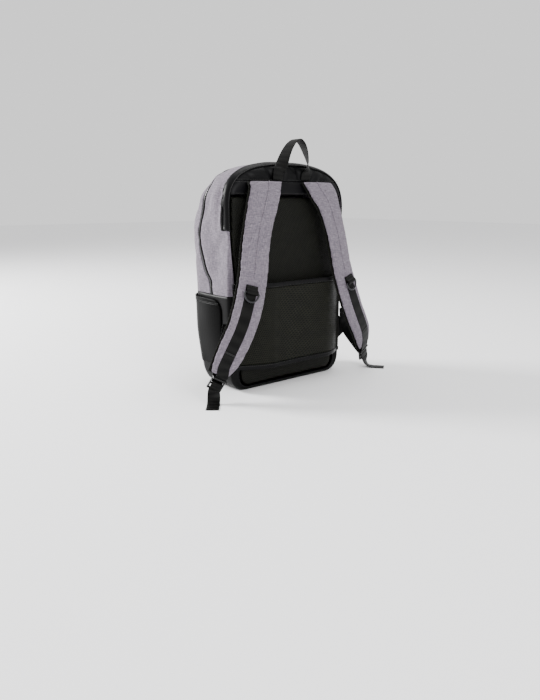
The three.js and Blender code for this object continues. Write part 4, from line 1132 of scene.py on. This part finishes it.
def makeLock(side, label):
    lock = lockFrame(side)
    half, slot = lockParts["width"] / 2, strapParts["webbing"] / 2 + 0.8
    bar, upper, lower = lockParts["bar"], lockParts["upper"], lockParts["lower"]
    columns = [-half, -slot, slot, half]
    rows = [-bar * 1.5 - lower, -bar / 2 - lower, -bar / 2, bar / 2, bar / 2 + upper, bar * 1.5 + upper]
    bm = bmesh.new()
    bmesh.ops.create_grid(bm, x_segments=3, y_segments=5, size=0.5)
    for vert in bm.verts:
        column, row = round((vert.co.x + 0.5) * 3), round((vert.co.y + 0.5) * 5)
        vert.co = Vector((columns[column], rows[row], 0)) * mm
    gaps = [face for face in bm.faces if abs(face.calc_center_median().x) < 1 * mm
            and (-bar / 2 - lower) * mm < face.calc_center_median().y < (bar / 2 + upper) * mm
            and abs(face.calc_center_median().y) > bar / 2 * mm]
    bmesh.ops.delete(bm, geom=gaps, context="FACES")
    made = bmesh.ops.extrude_face_region(bm, geom=bm.faces[:])
    top = [item for item in made["geom"] if isinstance(item, bmesh.types.BMVert)]
    bmesh.ops.translate(bm, vec=(0, 0, lockParts["wall"] * mm), verts=top)
    bmesh.ops.translate(bm, vec=(0, 0, -lockParts["wall"] / 2 * mm), verts=bm.verts)
    bmesh.ops.recalc_face_normals(bm, faces=bm.faces)
    sharp = [edge for edge in bm.edges if len(edge.link_faces) == 2 and edge.calc_face_angle() > 0.8]
    bmesh.ops.bevel(bm, geom=sharp, offset=0.9 * mm, affect="EDGES", segments=3, profile=0.5, material=-1)
    # lip over the webbing on the top bar
    inner = lockParts["wall"] / 2 + strapParts["webbingWall"] + 4 * body["layGap"]
    edge = bar * 1.5 + upper - 2.5
    for size, move in (
        ((2 * half, 3, lockParts["lip"]), (0, edge, inner + lockParts["lip"] / 2)),
        ((half - slot, 3, inner + 0.4), (-(half + slot) / 2, edge, inner / 2 + 0.2)),
        ((half - slot, 3, inner + 0.4), ((half + slot) / 2, edge, inner / 2 + 0.2)),
    ):
        cube = bmesh.ops.create_cube(bm, size=1)
        bmesh.ops.scale(bm, vec=[part * mm for part in size], verts=cube["verts"])
        bmesh.ops.translate(bm, vec=[part * mm for part in move], verts=cube["verts"])
        rims = {line for vert in cube["verts"] for line in vert.link_edges}
        bmesh.ops.bevel(
            bm, geom=list(rims), offset=0.4 * mm, affect="EDGES", segments=2, profile=0.5, material=-1)
    basis = Matrix((lock["across"], -lock["down"], lock["face"])).transposed().to_4x4()
    bmesh.ops.transform(bm, matrix=Matrix.Translation(lock["point"] * mm) @ basis, verts=bm.verts)
    piece = finishMesh(bm, f"ladderLock{label}", acetal)
    deliver(piece, [f"ladder_lock_{label.lower()}"])


anchorParts = {"top": 132, "bottom": 62, "reach": 20, "wall": 2, "depth": 2, "tail": 62, "tailTurn": 38}


def makeAnchor(side, label):
    middle = (anchorParts["top"] + anchorParts["bottom"]) / 2

    def place(u, v):
        station = side * stationAtHeight(mix(anchorParts["bottom"], anchorParts["top"], v))
        inner = bagPoint(station, 2.1, body["layGap"], False)
        outer = Vector((side * (halfWidth + anchorParts["reach"]), depthToY(anchorParts["depth"]),
                        middle + (v - 0.5) * strapParts["webbing"]))
        return inner.lerp(outer, u) + Vector((0, 1 - 0.9 * math.sin(math.pi * u) * math.cos(4 * v), 0))

    bm = gridMesh(14, 16, place, (24, 60))
    pointOut(bm, Vector((0, 400, 100)) * mm)
    piece = addModifiers(finishMesh(bm, f"anchorTab{label}", twill), 2)
    deliver(piece, [f"anchor_tab_{label.lower()}"])


def makeAdjuster(side, label):
    lock = lockFrame(side)
    wall = strapParts["webbingWall"]
    bar, upper, lower = lockParts["bar"], lockParts["upper"], lockParts["lower"]
    middle = (anchorParts["top"] + anchorParts["bottom"]) / 2
    offTab = anchorParts["depth"] - anchorParts["wall"] / 2 - 2 * body["layGap"] - wall / 2
    tailTurn = math.radians(anchorParts["tailTurn"])

    def place(out, depth, height):
        return Vector((side * (halfWidth + out), depthToY(depth), height))

    leaning = Vector((0.95, 0, 0.3 * side))
    flat = Vector((math.cos(tailTurn), side * math.sin(tailTurn), 0))
    reach = (lockParts["wall"] + wall) / 2 + body["layGap"]
    stops = [(place(10, offTab - 2.2, middle + 47), leaning), (place(14, offTab - 1, middle + 22), leaning),
             (place(anchorParts["reach"], offTab, middle), leaning)]
    for up, out in (
        (bar + upper + 4, -13), (upper - 0.5, -6), (bar / 2 + 2.4, -1.4), (bar / 2 + 1.9, 1),
        (bar / 2 + 0.7, reach + 0.1), (-bar / 2, reach + 0.7), (-bar - lower, reach + 0.7),
    ):
        stops.append((inFrame(lock, 0, up, out), lock["across"]))
    leave = inFrame(lock, 0, -bar * 1.5 - lower, reach + 0.8)
    drop = max(leave.z - wall, 1)
    outward = Vector((side * math.sin(tailTurn), -math.cos(tailTurn), 0))
    floor = wall / 2 + body["layGap"]
    laid = max(anchorParts["tail"] - drop, 10)
    stops.append((leave, lock["across"]))
    for out, height, turn in (
        (0.1 * drop, floor + 0.5 * drop, 0.7), (0.35 * drop, floor + 0.16 * drop, 1), (0.8 * drop, floor, 1),
        (0.5 * (laid + drop), floor, 1), (laid + 0.3 * drop, floor, 1),
    ):
        point = leave + outward * out
        point.z = height
        stops.append((point, lock["across"].lerp(flat, turn)))
    route = routeThrough(stops)
    piece = ribbonPiece(f"adjusterWebbing{label}", route, strapParts["webbing"], wall, webbing, 170)
    deliver(piece, [f"adjuster_webbing_{label.lower()}"])


# Grab handle

# across as a share of half the spread, up of the rise, lean of the webbing's width, and turn in degrees
handleLine = [
    (-0.88, 0, 0, 0), (-0.88, 0.15, -0.05, -3), (-0.8, 0.29, -0.2, -30), (-0.65, 0.43, -0.16, -52),
    (-0.43, 0.6, -0.06, -66), (-0.16, 0.77, 0.04, -76), (0.16, 0.925, 0.07, -84), (0.5, 1, 0.08, -90),
    (0.8, 0.925, 0.07, -95), (1, 0.785, 0.04, -101), (1.11, 0.61, -0.06, -112), (1.17, 0.43, -0.16, -126),
    (1.16, 0.29, -0.22, -148), (1.11, 0.15, -0.06, -177), (1.11, 0, 0, -180),
]
handleAt = evenly(handleLine)
handleParts = {"spread": 74, "peak": 46}


def makeHandle():
    foot = body["strapSeam"] + 3
    rise = body["height"] + handleParts["peak"] - foot

    def route(share):
        across, up, lean, turn = handleAt(share)
        turn = math.radians(turn)
        depth = lean * strapParts["webbing"] - body["layGap"] - strapParts["webbingWall"] / 2
        point = Vector((across * handleParts["spread"] / 2, depthToY(depth), foot + up * rise))
        return point, Vector((math.cos(turn), math.sin(turn), 0))

    piece = ribbonPiece("grabHandle", route, strapParts["webbing"], strapParts["webbingWall"], webbing, 130)
    deliver(piece, ["grab_handle"])


makeFrontShell()
makeRearGusset()
makeBaseTub()
makeZip()
makeSlider()
makeTopBand()
print("body ready")
makeBackPad()
makeYoke()
makeSleeve()
print("worn side ready")
for side, label in ((-1, "Left"), (1, "Right")):
    makePocket(side, label)
    makeStrap(side, label)
    makeStrapWebbing(side, label)
    makeRing(side, label)
    makeLock(side, label)
    makeAnchor(side, label)
    makeAdjuster(side, label)
makeHandle()
print("straps ready")

# Stage

stageParts = {"floor": 9.0, "lens": 31.5, "camera": (-0.8355, -1.0144, 0.3801), "yaw": 51.0, "pitch": 13.76}


def makeStage():
    # matt paper backdrop: pale and even, without gloss
    material = newMaterial("paleMattPaper", Base_Color=srgb("#f4f4f5"), Roughness=0.9)[0]
    bm = bmesh.new()
    bmesh.ops.create_grid(bm, x_segments=2, y_segments=2, size=stageParts["floor"])
    floor = finishMesh(bm, "floor", material, False)
    world = bpy.data.worlds.new("studio")
    world.use_nodes = True
    world.node_tree.nodes["Background"].inputs["Color"].default_value = (1, 1, 1, 1)
    world.node_tree.nodes["Background"].inputs["Strength"].default_value = 1.15
    bpy.context.scene.world = world
    for name, place, size, power, aim in (
        ("keyLight", (-1.7, 2.2, 1.5), 0.9, 210, (0, 0, 0.25)),
        ("fillLight", (-0.2, -2.6, 1.5), 1.1, 44, (0, 0, 0.25)),
        ("topLight", (0.5, 0.2, 2.4), 1.4, 26, (0, 0, 0.3)),
    ):
        data = bpy.data.lights.new(name, "AREA")
        data.energy, data.size = power, size
        light = bpy.data.objects.new(name, data)
        bpy.context.scene.collection.objects.link(light)
        light.location = place
        light.rotation_euler = (Vector(aim) - Vector(place)).to_track_quat("-Z", "Y").to_euler()


def makeCamera():
    data = bpy.data.cameras.new("camera")
    data.lens, data.sensor_width, data.sensor_fit = stageParts["lens"], 36, "AUTO"
    camera = bpy.data.objects.new("camera", data)
    bpy.context.scene.collection.objects.link(camera)
    yaw, pitch = math.radians(stageParts["yaw"]), math.radians(stageParts["pitch"])
    look = Vector((math.cos(yaw) * math.cos(pitch), math.sin(yaw) * math.cos(pitch), -math.sin(pitch)))
    camera.location = stageParts["camera"]
    camera.rotation_euler = look.to_track_quat("-Z", "Y").to_euler()
    bpy.context.scene.camera = camera


makeStage()
makeCamera()
print("scene ready")
